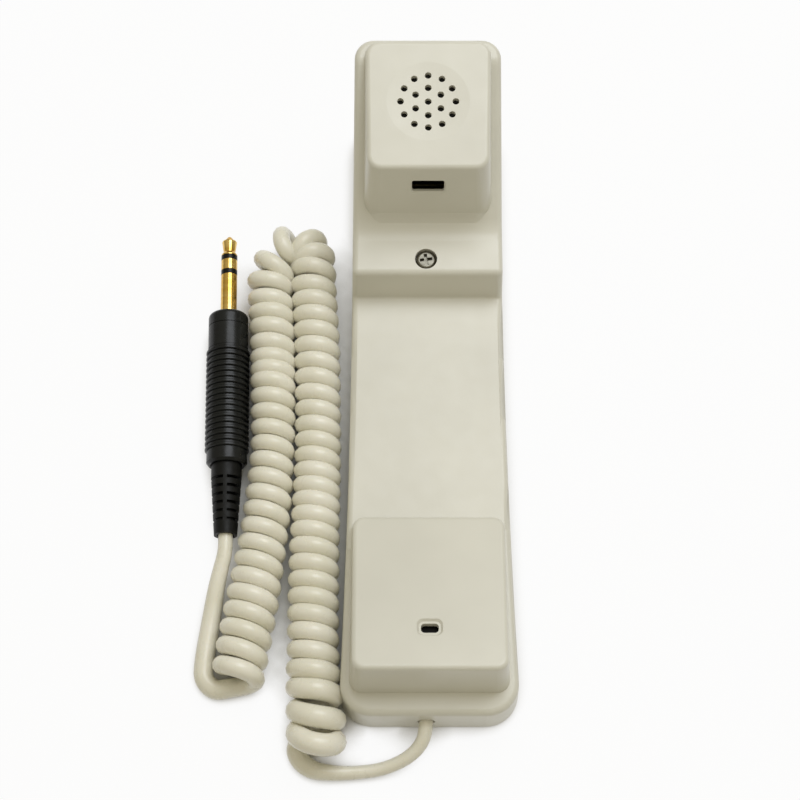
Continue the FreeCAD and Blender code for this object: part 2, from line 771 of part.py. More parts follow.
# Screw counterbore and hole, bracket pilots and the cord's hole.
head_seat = float(land_height - screw_sink - screw_head_height)
cuts.append(Part.makeCylinder(float(screw_head) / 2 + float(screw_bore_gap), 12,
                              Vector(float(screw_x), float(screw_y), head_seat)))
cuts.append(Part.makeCylinder(float(screw_shank) / 2 + 0.15, 60,
                              Vector(float(screw_x), float(screw_y), 0)))
for side in (-1, 1):
    pilot = Part.makeCylinder(1.0, 6.0, Vector(0, side * float(post_spread), -float(capsule_depth)))
    cuts.append(inEar(pilot))
cord_bore = float(cord_width) / 2 + float(cord_hole_gap)
cuts.append(Part.makeCylinder(cord_bore, 12, Vector(float(cord_exit_x), -float(case_length) / 2 - 3,
                                                    float(cord_exit_z)), Vector(0, 1, 0)))
cover = cover.cut(cuts)
front_cover = keep(shapeOf("FrontCover", cover), "front_cover")

# Rear cover: a plate with a lip inside the front cover, bosses and posts.
plate = wallsBetween(caseWire(float(base_inset), 0.0), caseWire(float(base_inset), float(base_thick)))
low_edges = [edge for edge in plate.Edges if all(abs(v.Z) < 1e-6 for v in edge.Vertexes)]
plate = plate.makeFillet(float(base_round), low_edges)
lip_in = float(wall + lip_gap + side_draft * (base_thick + lip_height))
lip_top = float(base_thick + lip_height)
lip = wallsBetween(caseWire(lip_in, 1.0), caseWire(lip_in, lip_top))
lip = lip.cut(wallsBetween(caseWire(lip_in + float(lip_thick), 0.9), caseWire(lip_in + float(lip_thick), lip_top + 1)))
gate = Part.makeBox(float(grommet_width) + 0.4, 12, 20,
                    Vector(float(cord_exit_x) - float(grommet_width) / 2 - 0.2, -float(case_length) / 2,
                           float(base_thick)))
lip = lip.cut(gate)
pieces = [lip]
boss = Part.makeCylinder(float(pillar_width) / 2, float(pillar_foot) - 1.0,
                         Vector(float(screw_x), float(screw_y), 1.0))
pieces.append(boss)
board_x = float(board_width / 2 - board_hole_inset)
board_y = float(board_length / 2 - board_hole_inset)
post_places = [(sx * board_x, float(board_middle) + sy * board_y) for sx in (-1, 1) for sy in (-1, 1)]
for x, y in post_places:
    pieces.append(Part.makeCylinder(float(board_post), float(board_level) - 1.0, Vector(x, y, 1.0)))
anchor_y = -float(case_length) / 2 + float(wall) + 0.9
for side in (-1, 1):
    cheek_x = float(cord_exit_x) + side * (float(grommet_width) / 2 + 0.85)
    pieces.append(Part.makeBox(1.5, float(grommet_length), 7.0,
                               Vector(cheek_x - 0.75, anchor_y + 0.4, 1.0)))
for y in (-70.0, -55.0, 58.0, 94.0):
    pieces.append(Part.makeBox(36.0, 1.4, 3.0, Vector(-18.0, y - 0.7, 1.0)))
base = plate.fuse(pieces).removeSplitter()
base_cuts = [Part.makeCylinder(float(insert_width) / 2, float(insert_length),
                               Vector(float(screw_x), float(screw_y), float(pillar_foot - insert_length))),
             Part.makeCylinder(float(screw_shank) / 2 + 0.3, float(insert_length) + 2.0,
                               Vector(float(screw_x), float(screw_y), float(pillar_foot - insert_length) - 2.0))]
for x, y in post_places:
    base_cuts.append(Part.makeCylinder(0.9, 2.6, Vector(x, y, float(board_level) - 2.6)))
base = base.cut(base_cuts)
rear_cover = keep(shapeOf("RearCover", base), "rear_cover")


# A cross-slotted pan head screw standing on its shank.
def screwShape(head, head_height, shank, length, recess):
    body = Part.makeCylinder(head / 2, head_height)
    rim = [edge for edge in body.Edges if len(edge.Vertexes) == 1 and abs(edge.Vertexes[0].Z - head_height) < 1e-6]
    body = body.makeFillet(head_height * 0.45, rim)
    body = body.fuse(Part.makeCylinder(shank / 2, length, Vector(0, 0, -length)))
    arm = head * 0.62
    slim = head * 0.16
    cross = Part.makeBox(arm, slim, recess, Vector(-arm / 2, -slim / 2, head_height - recess))
    cross = cross.fuse(Part.makeBox(slim, arm, recess, Vector(-slim / 2, -arm / 2, head_height - recess)))
    return body.cut(cross).removeSplitter()


insert_grip = 5.5
screw_length = head_seat - float(pillar_foot) + insert_grip
cover_screw = shapeOf("CoverScrew", screwShape(float(screw_head), float(screw_head_height),
                                               float(screw_shank), screw_length, 1.3))
cover_screw.Placement = Placement(Vector(float(screw_x), float(screw_y), head_seat),
                                  Rotation(Vector(0, 0, 1), 8))
keep(cover_screw, "cover_screw")

insert_body = turnedOf("ScrewInsert", [(screw_shank / 2, 0), (insert_width / 2, 0),
                                       (insert_width / 2, insert_length), (screw_shank / 2, insert_length)],
                       Placement(Vector(float(screw_x), float(screw_y), float(pillar_foot - insert_length)),
                                 Rotation()))
keep(insert_body, "screw_insert")

# Hook plate: a steel strip held in the ribs behind the slot.
hook = boxOf("HookPlate", hook_width, hook_thick, hook_height, -hook_width / 2, hook_y, hook_z - hook_height / 2)
keep(hook, "hook_plate")

# Receiver capsule, in the ear face's frame.
gasket_top = -wall
keep(turnedOf("Gasket", [(capsule_radius - gasket_width, gasket_top), (capsule_radius, gasket_top),
                         (capsule_radius, gasket_top - gasket_thick),
                         (capsule_radius - gasket_width, gasket_top - gasket_thick)], ear_frame),
     "receiver_gasket")
cloth_radius = capsule_radius - gasket_width - 0.05
keep(turnedOf("Cloth", [(0, gasket_top), (cloth_radius, gasket_top), (cloth_radius, gasket_top - cloth_thick),
                        (0, gasket_top - cloth_thick)], ear_frame), "receiver_cloth")
basket_top = gasket_top - gasket_thick
basket_low = basket_top - basket_height
bore = capsule_radius - basket_wall
basket = turnedOf("Basket", [(0, basket_top), (capsule_radius, basket_top), (capsule_radius, basket_low),
                             (bore, basket_low), (bore, basket_top - basket_front),
                             (0, basket_top - basket_front)])
basket_shape = basket.Shape.copy()
ports = []
for index in range(7):
    angle = math.radians(60.0 * index)
    reach = 0.0 if index == 6 else 5.2
    ports.append(Part.makeCylinder(1.3, 4.0, Vector(reach * math.cos(angle), reach * math.sin(angle),
                                                    float(basket_top) - 2.5)))
port_group = shapeOf("BasketPorts", Part.makeCompound(ports))
basket_cut = cutOf("BasketCut", basket, port_group)
basket_cut.Placement = ear_frame
keep(basket_cut, "receiver_frame")
skin_top = basket_top - basket_front
keep(turnedOf("Diaphragm", [(0, skin_top), (bore, skin_top), (bore, skin_top - diaphragm_thick),
                            (0, skin_top - diaphragm_thick)], ear_frame), "receiver_diaphragm")
voice_top = skin_top - diaphragm_thick
keep(turnedOf("VoiceCoil", [(coil_radius - coil_thick, voice_top), (coil_radius, voice_top),
                            (coil_radius, voice_top - coil_height),
                            (coil_radius - coil_thick, voice_top - coil_height)], ear_frame), "voice_coil")
yoke_low = basket_low
yoke_top = yoke_low + yoke_thick
keep(turnedOf("Magnet", [(0, yoke_top), (magnet_radius, yoke_top), (magnet_radius, yoke_top + magnet_height - 0.5),
                         (0, yoke_top + magnet_height - 0.5)], ear_frame), "receiver_magnet")
cup = coil_radius + 0.5
keep(turnedOf("Yoke", [(0, yoke_low), (bore, yoke_low), (bore, yoke_top + 1.6), (cup, yoke_top + 1.6),
                       (cup, yoke_top), (0, yoke_top)], ear_frame), "receiver_yoke")
tag_top = basket_low
tag_board = turnedOf("TagBoard", [(0, tag_top), (capsule_radius - 2.5, tag_top),
                                  (capsule_radius - 2.5, tag_top - terminal_thick),
                                  (0, tag_top - terminal_thick)], ear_frame)
keep(tag_board, "receiver_tag_board")
strap_low = -capsule_depth - bracket_thick
strap_half = post_spread + post_radius
strap = Part.makeBox(float(bracket_width), 2 * float(strap_half), float(bracket_thick),
                     Vector(-float(bracket_width) / 2, -float(strap_half), float(strap_low)))
for side in (-1, 1):
    strap = strap.cut(Part.makeCylinder(1.3, 4, Vector(0, side * float(post_spread), float(strap_low) - 1)))
strap = strap.cut(Part.makeCylinder(2.6, 4, Vector(0, 0, float(strap_low) - 1)))
strap_ends = [edge for edge in strap.Edges
              if len(edge.Vertexes) == 2 and abs(edge.Vertexes[0].Z - edge.Vertexes[1].Z) > 0.5
              and abs(abs(edge.Vertexes[0].Y) - float(strap_half)) < 1e-6]
strap = strap.makeFillet(float(bracket_width) * 0.3, strap_ends)
strap_piece = shapeOf("Bracket", strap)
strap_piece.Placement = ear_frame
keep(strap_piece, "receiver_bracket")
strap_screws = []
for side in (-1, 1):
    screw = screwShape(4.4, 1.4, 2.0, 4.6, 0.8)
    screw.Placement = Placement(Vector(0, side * float(post_spread), float(strap_low)),
                                Rotation(Vector(1, 0, 0), 180))
    strap_screws.append(inEar(screw))
keep(shapeOf("BracketScrews", Part.makeCompound(strap_screws)), "bracket_screws")

# Microphone capsule in its rubber boot, in the mouth face's frame.
boot_top = -wall
boot_profile = [(voice_width / 2 + 0.2, boot_top), (boot_radius, boot_top), (boot_radius, boot_top - boot_height),
                (mic_radius, boot_top - boot_height), (mic_radius, boot_top - boot_front),
                (voice_width / 2 + 0.2, boot_top - boot_front)]
keep(turnedOf("MicBoot", boot_profile, mouth_frame), "microphone_boot")
mic_top = boot_top - boot_front
mic_profile = [(0, mic_top), (mic_radius - 0.6, mic_top), (mic_radius, mic_top - 0.6),
               (mic_radius, mic_top - mic_height), (mic_radius - 0.8, mic_top - mic_height),
               (mic_radius - 0.8, mic_top - mic_height + 0.5), (0, mic_top - mic_height + 0.5)]
keep(turnedOf("MicCapsule", mic_profile, mouth_frame), "microphone_capsule")

# Circuit board on its posts.
half_w = board_width / 2
half_l = board_length / 2
board_body = paddedOf("CircuitBoard", [(-half_w, -half_l), (half_w, -half_l), (half_w, half_l), (-half_w, half_l)],
                      board_thick)
hole_group = Part.makeCompound([Part.makeCylinder(1.1, 6, Vector(sx * board_x, sy * board_y, -2))
                                for sx in (-1, 1) for sy in (-1, 1)])
board_cut = cutOf("BoardCut", board_body, shapeOf("BoardHoles", hole_group))
board_cut.Placement = Placement(Vector(0, float(board_middle), float(board_level)), Rotation())
keep(board_cut, "circuit_board")
board_top = float(board_level + board_thick)
board_screw_shapes = []
for x, y in post_places:
    screw = screwShape(3.8, 1.3, 1.8, float(board_thick) + 2.4, 0.7)
    screw.Placement = Placement(Vector(x, y, board_top), Rotation())
    board_screw_shapes.append(screw)
keep(shapeOf("BoardScrews", Part.makeCompound(board_screw_shapes)), "board_screws")

# Terminal block at the mouth end of the board.
block_y = board_middle - half_l + 8.5
block = Part.makeBox(float(block_width), float(block_depth), float(block_height),
                     Vector(-float(block_width) / 2, float(block_y) - float(block_depth) / 2, board_top))
ways = 4
block_cuts = []
for index in range(int(ways)):
    x = (index - (ways - 1) / 2) * float(block_pitch)
    block_cuts.append(Part.makeCylinder(1.5, 3.4, Vector(x, float(block_y), board_top + float(block_height) - 3.4)))
    block_cuts.append(Part.makeBox(2.6, 9.0, 2.0, Vector(x - 1.3, float(block_y) - 4.5, board_top + 0.7)))
block = block.cut(block_cuts)
keep(shapeOf("TerminalBlock", block), "terminal_block")
clamp_screws = []
for index in range(int(ways)):
    x = (index - (ways - 1) / 2) * float(block_pitch)
    screw = screwShape(2.9, 1.2, 1.6, 2.0, 0.6)
    screw.Placement = Placement(Vector(x, float(block_y), board_top + float(block_height) - 3.4), Rotation())
    clamp_screws.append(screw)
block_recess = [Part.makeCylinder(0.85, 2.2, Vector((index - (ways - 1) / 2) * float(block_pitch), float(block_y),
                                                   board_top + float(block_height) - 5.5))
                for index in range(int(ways))]
doc.getObject("TerminalBlock").Shape = block.cut(block_recess)
keep(shapeOf("TerminalScrews", Part.makeCompound(clamp_screws)), "terminal_screws")

# Capacitors and resistors lie on the board.
capacitors = []
for x in (-8.0, 8.0):
    can = rodOf("Capacitor" + ("Left" if x < 0 else "Right"), capacitor_radius, capacitor_length,
                x, board_middle + 4.0, board_level + board_thick + capacitor_radius,
                Rotation(Vector(1, 0, 0), -90))
    capacitors.append(can)
keep(groupOf("Capacitors", capacitors), "capacitors")
resistors = []
for index, y in enumerate((-7.0, -3.5, 0.0)):
    body = rodOf("Resistor%d" % (index + 1), resistor_radius, resistor_length,
                 -resistor_length / 2, board_middle + y, board_level + board_thick + resistor_radius,
                 Rotation(Vector(0, 1, 0), 90))
    resistors.append(body)
keep(groupOf("Resistors", resistors), "resistors")

# Ballast weight on the rear cover's ribs.
ballast = Part.makeBox(float(ballast_width), float(ballast_length), float(ballast_height),
                       Vector(-float(ballast_width) / 2, float(ballast_middle - ballast_length / 2),
                              float(base_thick)))
ballast = ballast.makeFillet(1.5, [edge for edge in ballast.Edges
                                   if abs(edge.Vertexes[0].Z - edge.Vertexes[1].Z) > 1])
ballast_screws = []
for side in (-1, 1):
    y = float(ballast_middle) + side * 10.0
    ballast = ballast.cut(Part.makeCylinder(1.7, 40, Vector(0, y, 0)))
keep(shapeOf("Ballast", ballast), "ballast_weight")
ballast_top = float(base_thick + ballast_height)
for side in (-1, 1):
    y = float(ballast_middle) + side * 10.0
    screw = screwShape(6.0, 1.8, 3.0, float(ballast_height) + 0.7, 0.9)
    screw.Placement = Placement(Vector(0, y, ballast_top), Rotation())
    ballast_screws.append(screw)
keep(shapeOf("BallastScrews", Part.makeCompound(ballast_screws)), "ballast_screws")
ballast_holes = [Part.makeCylinder(1.5, 0.75, Vector(0, float(ballast_middle) + side * 10.0, float(base_thick) - 0.72))
                 for side in (-1, 1)]
rear_cover.Shape = rear_cover.Shape.cut(ballast_holes)


# A tube along straight runs joined by tangent arcs.
def routeWire(points, name):
    points = [Vector(*[float(value) for value in point]) for point in points]
    edges = []
    last = points[0]
    radii = []
    for before, here, after in zip(points, points[1:], points[2:]):
        into = here - before
        out = after - here
        turn = into.getAngle(out)
        reach = 0.45 * min(into.Length, out.Length)
        radius = reach / math.tan(turn / 2)
        radii.append(radius)
        start = here - Vector(into).normalize() * reach
        end = here + Vector(out).normalize() * reach
        inward = (Vector(out).normalize() - Vector(into).normalize()).normalize()
        centre = here + inward * math.hypot(radius, reach)
        edges.append(Part.LineSegment(last, start).toShape())
        edges.append(Part.Arc(start, centre - inward * radius, end).toShape())
        last = end
    edges.append(Part.LineSegment(last, points[-1]).toShape())
    print(name, "bend radii", " ".join("%.1f" % radius for radius in radii))
    return Part.Wire(edges)


def tubeAlong(wire, radius, name):
    first = wire.OrderedEdges[0]
    start = first.valueAt(first.FirstParameter)
    ahead = first.tangentAt(first.FirstParameter)
    ring = Part.Wire([Part.Circle(start, ahead, radius).toShape()])
    tube = wire.makePipeShell([ring], True, False)
    if tube.Volume < 0:
        tube.reverse()
    expected = math.pi * radius * radius * wire.Length
    print(name, "length %.1f volume %.0f expected %.0f" % (wire.Length, tube.Volume, expected))
    return tube


# The plug's frame: its z axis runs from the collar to the tip.
plug_frame = Placement(Vector(float(plug_x), float(plug_y), float(plug_z)),
                       Rotation(Vector(0, 0, 1), float(plug_turn)).multiply(Rotation(Vector(1, 0, 0), -90)))


def onPlug(height):
    return plug_frame.multVec(Vector(0, 0, float(height)))


# Curly part: stations along its axis as x, y, half width, half height, pitch and lean.
stations = (
    (-33.4, -110.8, 6.7, 6.4, 8.4, 4.0),
    (-33.9, -104.0, 6.4, 6.3, 8.0, 1.9),
    (-35.3, -97.0, 6.1, 6.1, 7.2, 0.8),
    (-35.7, -90.0, 6.0, 6.0, 6.3, 0.4),
    (-35.6, -80.0, 5.8, 5.8, 5.75, 0.0),
    (-35.2, -65.4, 5.65, 5.65, 5.45, 0.0),
    (-35.1, -49.5, 5.55, 5.55, 5.35, 0.0),
    (-34.65, -33.3, 5.0, 5.0, 5.3, 0.0),
    (-34.15, -16.7, 4.75, 4.75, 5.3, 0.0),
    (-34.35, 0.2, 4.75, 4.75, 5.4, 0.0),
    (-34.8, 17.5, 4.75, 4.75, 5.45, 0.0),
    (-35.5, 31.0, 4.75, 4.75, 5.5, 0.0),
    (-35.8, 38.0, 4.6, 4.75, 5.9, 0.0),
    (-35.6, 44.6, 4.2, 4.8, 8.0, 0.0),
    (-38.0, 50.3, 3.8, 4.8, 11.4, 0.0),
    (-43.6, 53.0, 3.8, 4.8, 11.8, 0.0),
    (-49.2, 50.3, 3.8, 4.8, 11.4, 0.0),
    (-51.6, 44.6, 4.2, 4.8, 8.0, 0.0),
    (-51.2, 38.0, 4.6, 4.75, 5.9, 0.0),
    (-50.35, 31.0, 4.65, 4.65, 5.4, 0.0),
    (-49.6, 17.5, 4.5, 4.5, 5.3, 0.0),
    (-48.95, 0.2, 4.5, 4.5, 5.3, 0.0),
    (-48.75, -16.7, 4.45, 4.45, 5.45, 0.0),
    (-49.85, -33.3, 4.65, 4.65, 5.5, 0.0),
    (-51.15, -47.5, 4.85, 4.85, 5.45, 0.0),
    (-53.6, -65.4, 5.35, 5.35, 5.55, 0.0),
    (-56.0, -80.0, 5.25, 5.3, 5.9, 0.0),
    (-57.2, -88.0, 5.2, 5.2, 6.4, 0.0),
    (-57.6, -92.2, 5.2, 5.2, 6.6, 0.0),
)
marks = [0.0]
for (xa, ya), (xb, yb) in zip([s[:2] for s in stations], [s[:2] for s in stations[1:]]):
    marks.append(marks[-1] + math.hypot(xb - xa, yb - ya))


# Value of one station column at a distance along the axis, eased between stations.
def alongAxis(column, distance):
    last = len(marks) - 1
    index = 0
    while index < last - 1 and marks[index + 1] < distance:
        index += 1
    a, b = marks[index], marks[index + 1]
    share = (distance - a) / (b - a)
    here, there = stations[index][column], stations[index + 1][column]
    before = stations[max(index - 1, 0)][column]
    after = stations[min(index + 2, last)][column]
    slope_a = (there - before) / (b - marks[max(index - 1, 0)])
    slope_b = (after - here) / (marks[min(index + 2, last)] - a)
    slope_a *= b - a
    slope_b *= b - a
    square = share * share
    cube = square * share
    return ((2 * cube - 3 * square + 1) * here + (cube - 2 * square + share) * slope_a
            + (3 * square - 2 * cube) * there + (cube - square) * slope_b)


cord_radius = float(cord_width) / 2
floor_gap = 0.05
slices = 2400
phases = [0.0]
for index in range(slices):
    middle = (index + 0.5) / slices * marks[-1]
    phases.append(phases[-1] + marks[-1] / slices / alongAxis(4, middle))
curls = int(round(phases[-1]))
stretch = curls / phases[-1]


# Distance along the axis where the coil has made a number of turns.
def axisAt(turns):
    wanted = turns / stretch
    low, high = 0, slices
    while high - low > 1:
        mid = (low + high) // 2
        if phases[mid] <= wanted:
            low = mid
        else:
            high = mid
    share = (wanted - phases[low]) / (phases[high] - phases[low])
    return (low + share) / slices * marks[-1]


# A point of the coil's middle line; turns may run a little past both ends.
def curlPoint(turns):
    held = min(max(turns, 0.0), float(curls))
    distance = axisAt(held)
    step = 0.05
    near = max(distance - step, 0.0)
    far = min(distance + step, marks[-1])
    ahead = Vector(alongAxis(0, far) - alongAxis(0, near), alongAxis(1, far) - alongAxis(1, near), 0).normalize()
    centre = Vector(alongAxis(0, distance), alongAxis(1, distance), 0)
    side = ahead.cross(Vector(0, 0, 1))
    half_width = alongAxis(2, distance)
    half_height = alongAxis(3, distance)
    lean = alongAxis(5, distance)
    angle = 2 * math.pi * turns - math.pi / 2
    centre.z = half_height + cord_radius + floor_gap
    return (centre + side * (half_width * math.cos(angle)) + Vector(0, 0, half_height * math.sin(angle))
            - ahead * (lean * math.sin(angle)))


def curlHeading(turns):
    step = 0.002
    return (curlPoint(min(turns + step, curls)) - curlPoint(max(turns - step, 0.0))).normalize()


# Two arcs that join two points along their headings.
def twoArcs(start, heading, end, arriving):
    gap = end - start
    both = heading + arriving
    a = 2 * (1 - heading.dot(arriving))
    b = 2 * gap.dot(both)
    c = -gap.dot(gap)
    reach = -c / b if abs(a) < 1e-9 else (-b + math.sqrt(b * b - 4 * a * c)) / (2 * a)
    first = start + heading * reach
    second = end - arriving * reach
    joint = (first + second) * 0.5
    return arcFrom(start, heading, joint), arcFrom(joint, (second - first).normalize(), end)


def arcFrom(start, heading, end):
    chord = end - start
    normal = heading.cross(chord)
    across = normal.cross(heading).normalize()
    radius = chord.dot(chord) / (2 * chord.dot(across))
    centre = start + across * radius
    outward = ((start + end) * 0.5 - centre).normalize()
    return Part.Arc(start, centre + outward * radius, end)


halves = [index / 2 for index in range(2 * curls + 1)]
knots = [(curlPoint(turns), curlHeading(turns)) for turns in halves]
flat_start = Vector(knots[0][1].x, knots[0][1].y, 0).normalize()
flat_end = Vector(-1, 0, 0)
knots[0] = (knots[0][0], flat_start)
knots[-1] = (knots[-1][0], flat_end)

# The fold under the last curl, laid on the table: it comes from the case, turns back
# and runs in under the coil.
low = cord_radius + floor_gap
fold = [(Vector(-33.6, -117.7, low), Vector(-1, 0, 0)),
        (Vector(-39.5, -112.3, low), Vector(0.05, 1, 0).normalize())]
knots = fold + knots
coil_start = knots[0][0] - knots[0][1] * float(cord_width)
coil_end = knots[-1][0] + flat_end * float(cord_width)
coil_edges = [Part.LineSegment(coil_start, knots[0][0]).toShape()]
bends = []
coil_samples = []
for (here, heading), (there, arriving) in zip(knots, knots[1:]):
    for arc in twoArcs(here, heading, there, arriving):
        edge = arc.toShape()
        bends.append(edge.Curve.Radius)
        coil_edges.append(edge)
        for index in range(6):
            share = index / 6
            coil_samples.append(edge.valueAt(edge.FirstParameter + share * (edge.LastParameter - edge.FirstParameter)))
coil_edges.append(Part.LineSegment(knots[-1][0], coil_end).toShape())
coil_wire = Part.Wire(coil_edges)
coil_tube = tubeAlong(coil_wire, cord_radius, "coil")
print("curls", curls, "tightest arc %.2f" % min(bends), "start", coil_start, "end", coil_end)

# The gap between the cord and itself along the coil, measured between its turns.
near = 2 * float(cord_width)
meetings = []
for i, a in enumerate(coil_samples):
    for b in coil_samples[i + 12:]:
        if abs(a.y - b.y) < near and abs(a.x - b.x) < near:
            meetings.append(((a - b).Length - float(cord_width), tuple(a)))
print("least gap of the coil to itself %.2f at" % min(meetings)[0], min(meetings)[1])
keep(shapeOf("CordCoil", coil_tube), "cord_coil")

# Cord from the case to the coil, along the table.
exit_y = anchor_y
tail_points = [
    (cord_exit_x, exit_y, cord_exit_z),
    (cord_exit_x, -105.8, cord_exit_z),
    (-3.0, -110.3, 6.2),
    (-7.6, -113.7, 4.2),
    (-14.2, -116.2, 2.6),
    (-21.6, coil_start.y, low),
    tuple(coil_start),
]
keep(shapeOf("TailHandset", tubeAlong(routeWire(tail_points, "tail at the case"), cord_radius, "tail at the case")),
     "cord_tail_handset")

# Cord from the coil to the plug.
relief_end = -(collar_length + seam_gap + barrel_length + relief_length)
plug_tail = onPlug(relief_end)
plug_before = onPlug(relief_end - 6.0)
plug_points = [
    tuple(coil_end),
    (-65.3, coil_end.y, low),
    (-68.3, coil_end.y + 1.8, low),
    (-69.7, coil_end.y + 5.2, 2.35),
    (-69.3, coil_end.y + 10.4, 2.35),
    (-68.0, -75.2, 2.5),
    (-66.3, -68.0, 3.3),
    (-64.5, -60.2, 5.1),
    tuple(plug_before),
    tuple(plug_tail),
]
keep(shapeOf("TailPlug", tubeAlong(routeWire(plug_points, "tail at the plug"), cord_radius, "tail at the plug")),
     "cord_tail_plug")

# The cord's end inside the strain relief and the barrel.
clamp_end = -(collar_length + thread_length + 14.0)
stub = turnedOf("CordInPlug", [(0, clamp_end), (cord_width / 2, clamp_end), (cord_width / 2, relief_end),
                               (0, relief_end)], plug_frame)
keep(stub, "cord_in_plug")

# Anchor moulded on the cord, held between the cheeks inside the case.
anchor = Part.makeBox(float(grommet_width), float(grommet_length), float(grommet_height),
                      Vector(float(cord_exit_x) - float(grommet_width) / 2, anchor_y,
                             float(cord_exit_z) - float(grommet_height) / 2))
anchor = anchor.makeFillet(1.2, [edge for edge in anchor.Edges
                                 if abs(edge.Vertexes[0].Y - edge.Vertexes[1].Y) > 1])
keep(shapeOf("CordAnchor", anchor), "cord_anchor")

# Conductors from the anchor to the terminal block.
conductors = []
for index in range(int(ways)):
    x = (index - (ways - 1) / 2) * float(block_pitch)
    start_x = float(cord_exit_x) + (index - (ways - 1) / 2) * 1.8
    level = board_top + 1.7
    points = [(start_x, anchor_y + float(grommet_length), float(cord_exit_z)),
              (start_x, -80.0 + index, float(cord_exit_z)),
              (x, -56.0, level + 0.6),
              (x, -44.0, level),
              (x, float(block_y) - float(block_depth) / 2 + 1.5, level)]
    conductors.append(tubeAlong(routeWire(points, "conductor"), float(conductor_radius), "conductor"))
keep(shapeOf("Conductors", Part.makeCompound(conductors)), "cord_conductors")

# Plug contacts and insulating bands, turned about the plug's axis.
sleeve_top = sleeve_length
band_a = sleeve_top + band_length
ring_top = band_a + ring_length
band_b = ring_top + band_length
tip_top = band_b + tip_length
band_tail = -(shank_length + tail_step)
ring_tail = -(shank_length + tail_step * 2)
film_tail = -(shank_length + tail_step * 2.5)
tip_tail = -(shank_length + tail_step * 3)
sleeve_bore = shaft_radius - contact_wall
rod_radius = stem_bore - film
keep(turnedOf("PlugSleeve", [(sleeve_bore, -shank_length), (shank_radius, -shank_length), (shank_radius, 0),
                             (shaft_radius, 0), (shaft_radius, sleeve_top), (sleeve_bore, sleeve_top)], plug_frame),
     "plug_sleeve")
keep(turnedOf("PlugBandA", [(stem_radius, band_tail), (sleeve_bore, band_tail), (sleeve_bore, sleeve_top),
                            (shaft_radius, sleeve_top), (shaft_radius, band_a), (stem_radius, band_a)], plug_frame),
     "plug_band_sleeve")
keep(turnedOf("PlugRing", [(stem_radius, band_a), (shaft_radius, band_a), (shaft_radius, ring_top),
                           (stem_bore, ring_top), (stem_bore, ring_tail), (stem_radius, ring_tail)], plug_frame),
     "plug_ring")
tip_points = [(0, tip_tail), (rod_radius, tip_tail), (rod_radius, band_b), (shaft_radius, band_b),
              (shaft_radius, band_b + 0.35), (shaft_radius * 0.94, band_b + 0.65), (neck_radius, band_b + 1.35),
              (neck_radius, band_b + 1.75), (neck_radius * 0.5 + bulb_radius * 0.5, band_b + 3.45),
              (bulb_radius, tip_top - 2.1), (bulb_radius * 0.94, tip_top - 1.75), (bulb_radius * 0.55, tip_top - 1.1),
              (bulb_radius * 0.35, tip_top - 0.35), (bulb_radius * 0.18, tip_top), (0, tip_top)]
keep(turnedOf("PlugTip", tip_points, plug_frame), "plug_tip")
keep(turnedOf("PlugBandB", [(rod_radius, film_tail), (stem_bore, film_tail), (stem_bore, ring_top),
                            (shaft_radius, ring_top), (shaft_radius, band_b), (rod_radius, band_b)], plug_frame),
     "plug_band_ring")

# Collar with its threaded stub.
stub_end = -(collar_length + thread_length)
collar = turnedOf("PlugCollar", [(shank_radius, 0), (collar_radius, 0), (collar_radius, -collar_length),
                                 (thread_radius, -collar_length), (thread_radius, stub_end),
                                 (shank_radius, stub_end)], plug_frame)
roundRims(collar, [(collar_radius, 0)], collar_round)
keep(collar, "plug_collar")

# Insulating carrier behind the collar, with the solder lugs.
carrier_low = stub_end - carrier_length
keep(turnedOf("PlugCarrier", [(stem_radius, band_tail), (shank_radius, band_tail), (shank_radius, stub_end),
                              (carrier_radius, stub_end), (carrier_radius, carrier_low),
                              (stem_radius, carrier_low)], plug_frame), "plug_carrier")
lug_shapes = []
for turn in (90, 210, 330):
    lug = Part.makeBox(float(lug_width), float(lug_thick), float(lug_length),
                       Vector(-float(lug_width) / 2, float(lug_place), float(carrier_low - lug_length)))
    lug.rotate(Vector(0, 0, 0), Vector(0, 0, 1), turn)
    lug_shapes.append(lug)
lugs = shapeOf("PlugLugs", Part.makeCompound(lug_shapes))
lugs.Placement = plug_frame
keep(lugs, "plug_lugs")

# Barrel with rounded ribs round it.
barrel_top = -(collar_length + seam_gap)
barrel_low = barrel_top - barrel_length
inner = barrel_radius - barrel_wall
thread_bore = thread_radius + thread_gap
rib_foot = barrel_radius - groove_depth
rib_crest = barrel_radius + rib_height
rib_gap = rib_pitch * 0.46
profile = [(thread_bore, barrel_top), (barrel_radius, barrel_top), (barrel_radius, barrel_top - rib_start)]
for index in range(int(rib_count)):
    z = barrel_top - rib_start - rib_pitch * index
    end = z - rib_pitch
    profile += [(rib_foot, z), (rib_foot, z - rib_gap), (rib_crest - 0.25, z - rib_gap - 0.04),
                (rib_crest, z - rib_gap - 0.26), (rib_crest, end + 0.26), (rib_crest - 0.25, end + 0.04)]
z = barrel_top - rib_start - rib_pitch * int(rib_count)
profile += [(rib_foot, z), (rib_foot, z - 0.5), (barrel_radius, z - 0.5),
            (barrel_radius, barrel_low + 0.8), (barrel_radius - 0.7, barrel_low)]
relief_bore = cord_width / 2 + relief_gap
hole = sleeve_start_radius + thread_gap
profile += [(hole, barrel_low), (hole, barrel_low + barrel_back), (inner, barrel_low + barrel_back),
            (inner, barrel_top - thread_length), (thread_bore, barrel_top - thread_length)]
barrel = turnedOf("PlugBarrel", profile, plug_frame)
keep(barrel, "plug_barrel")

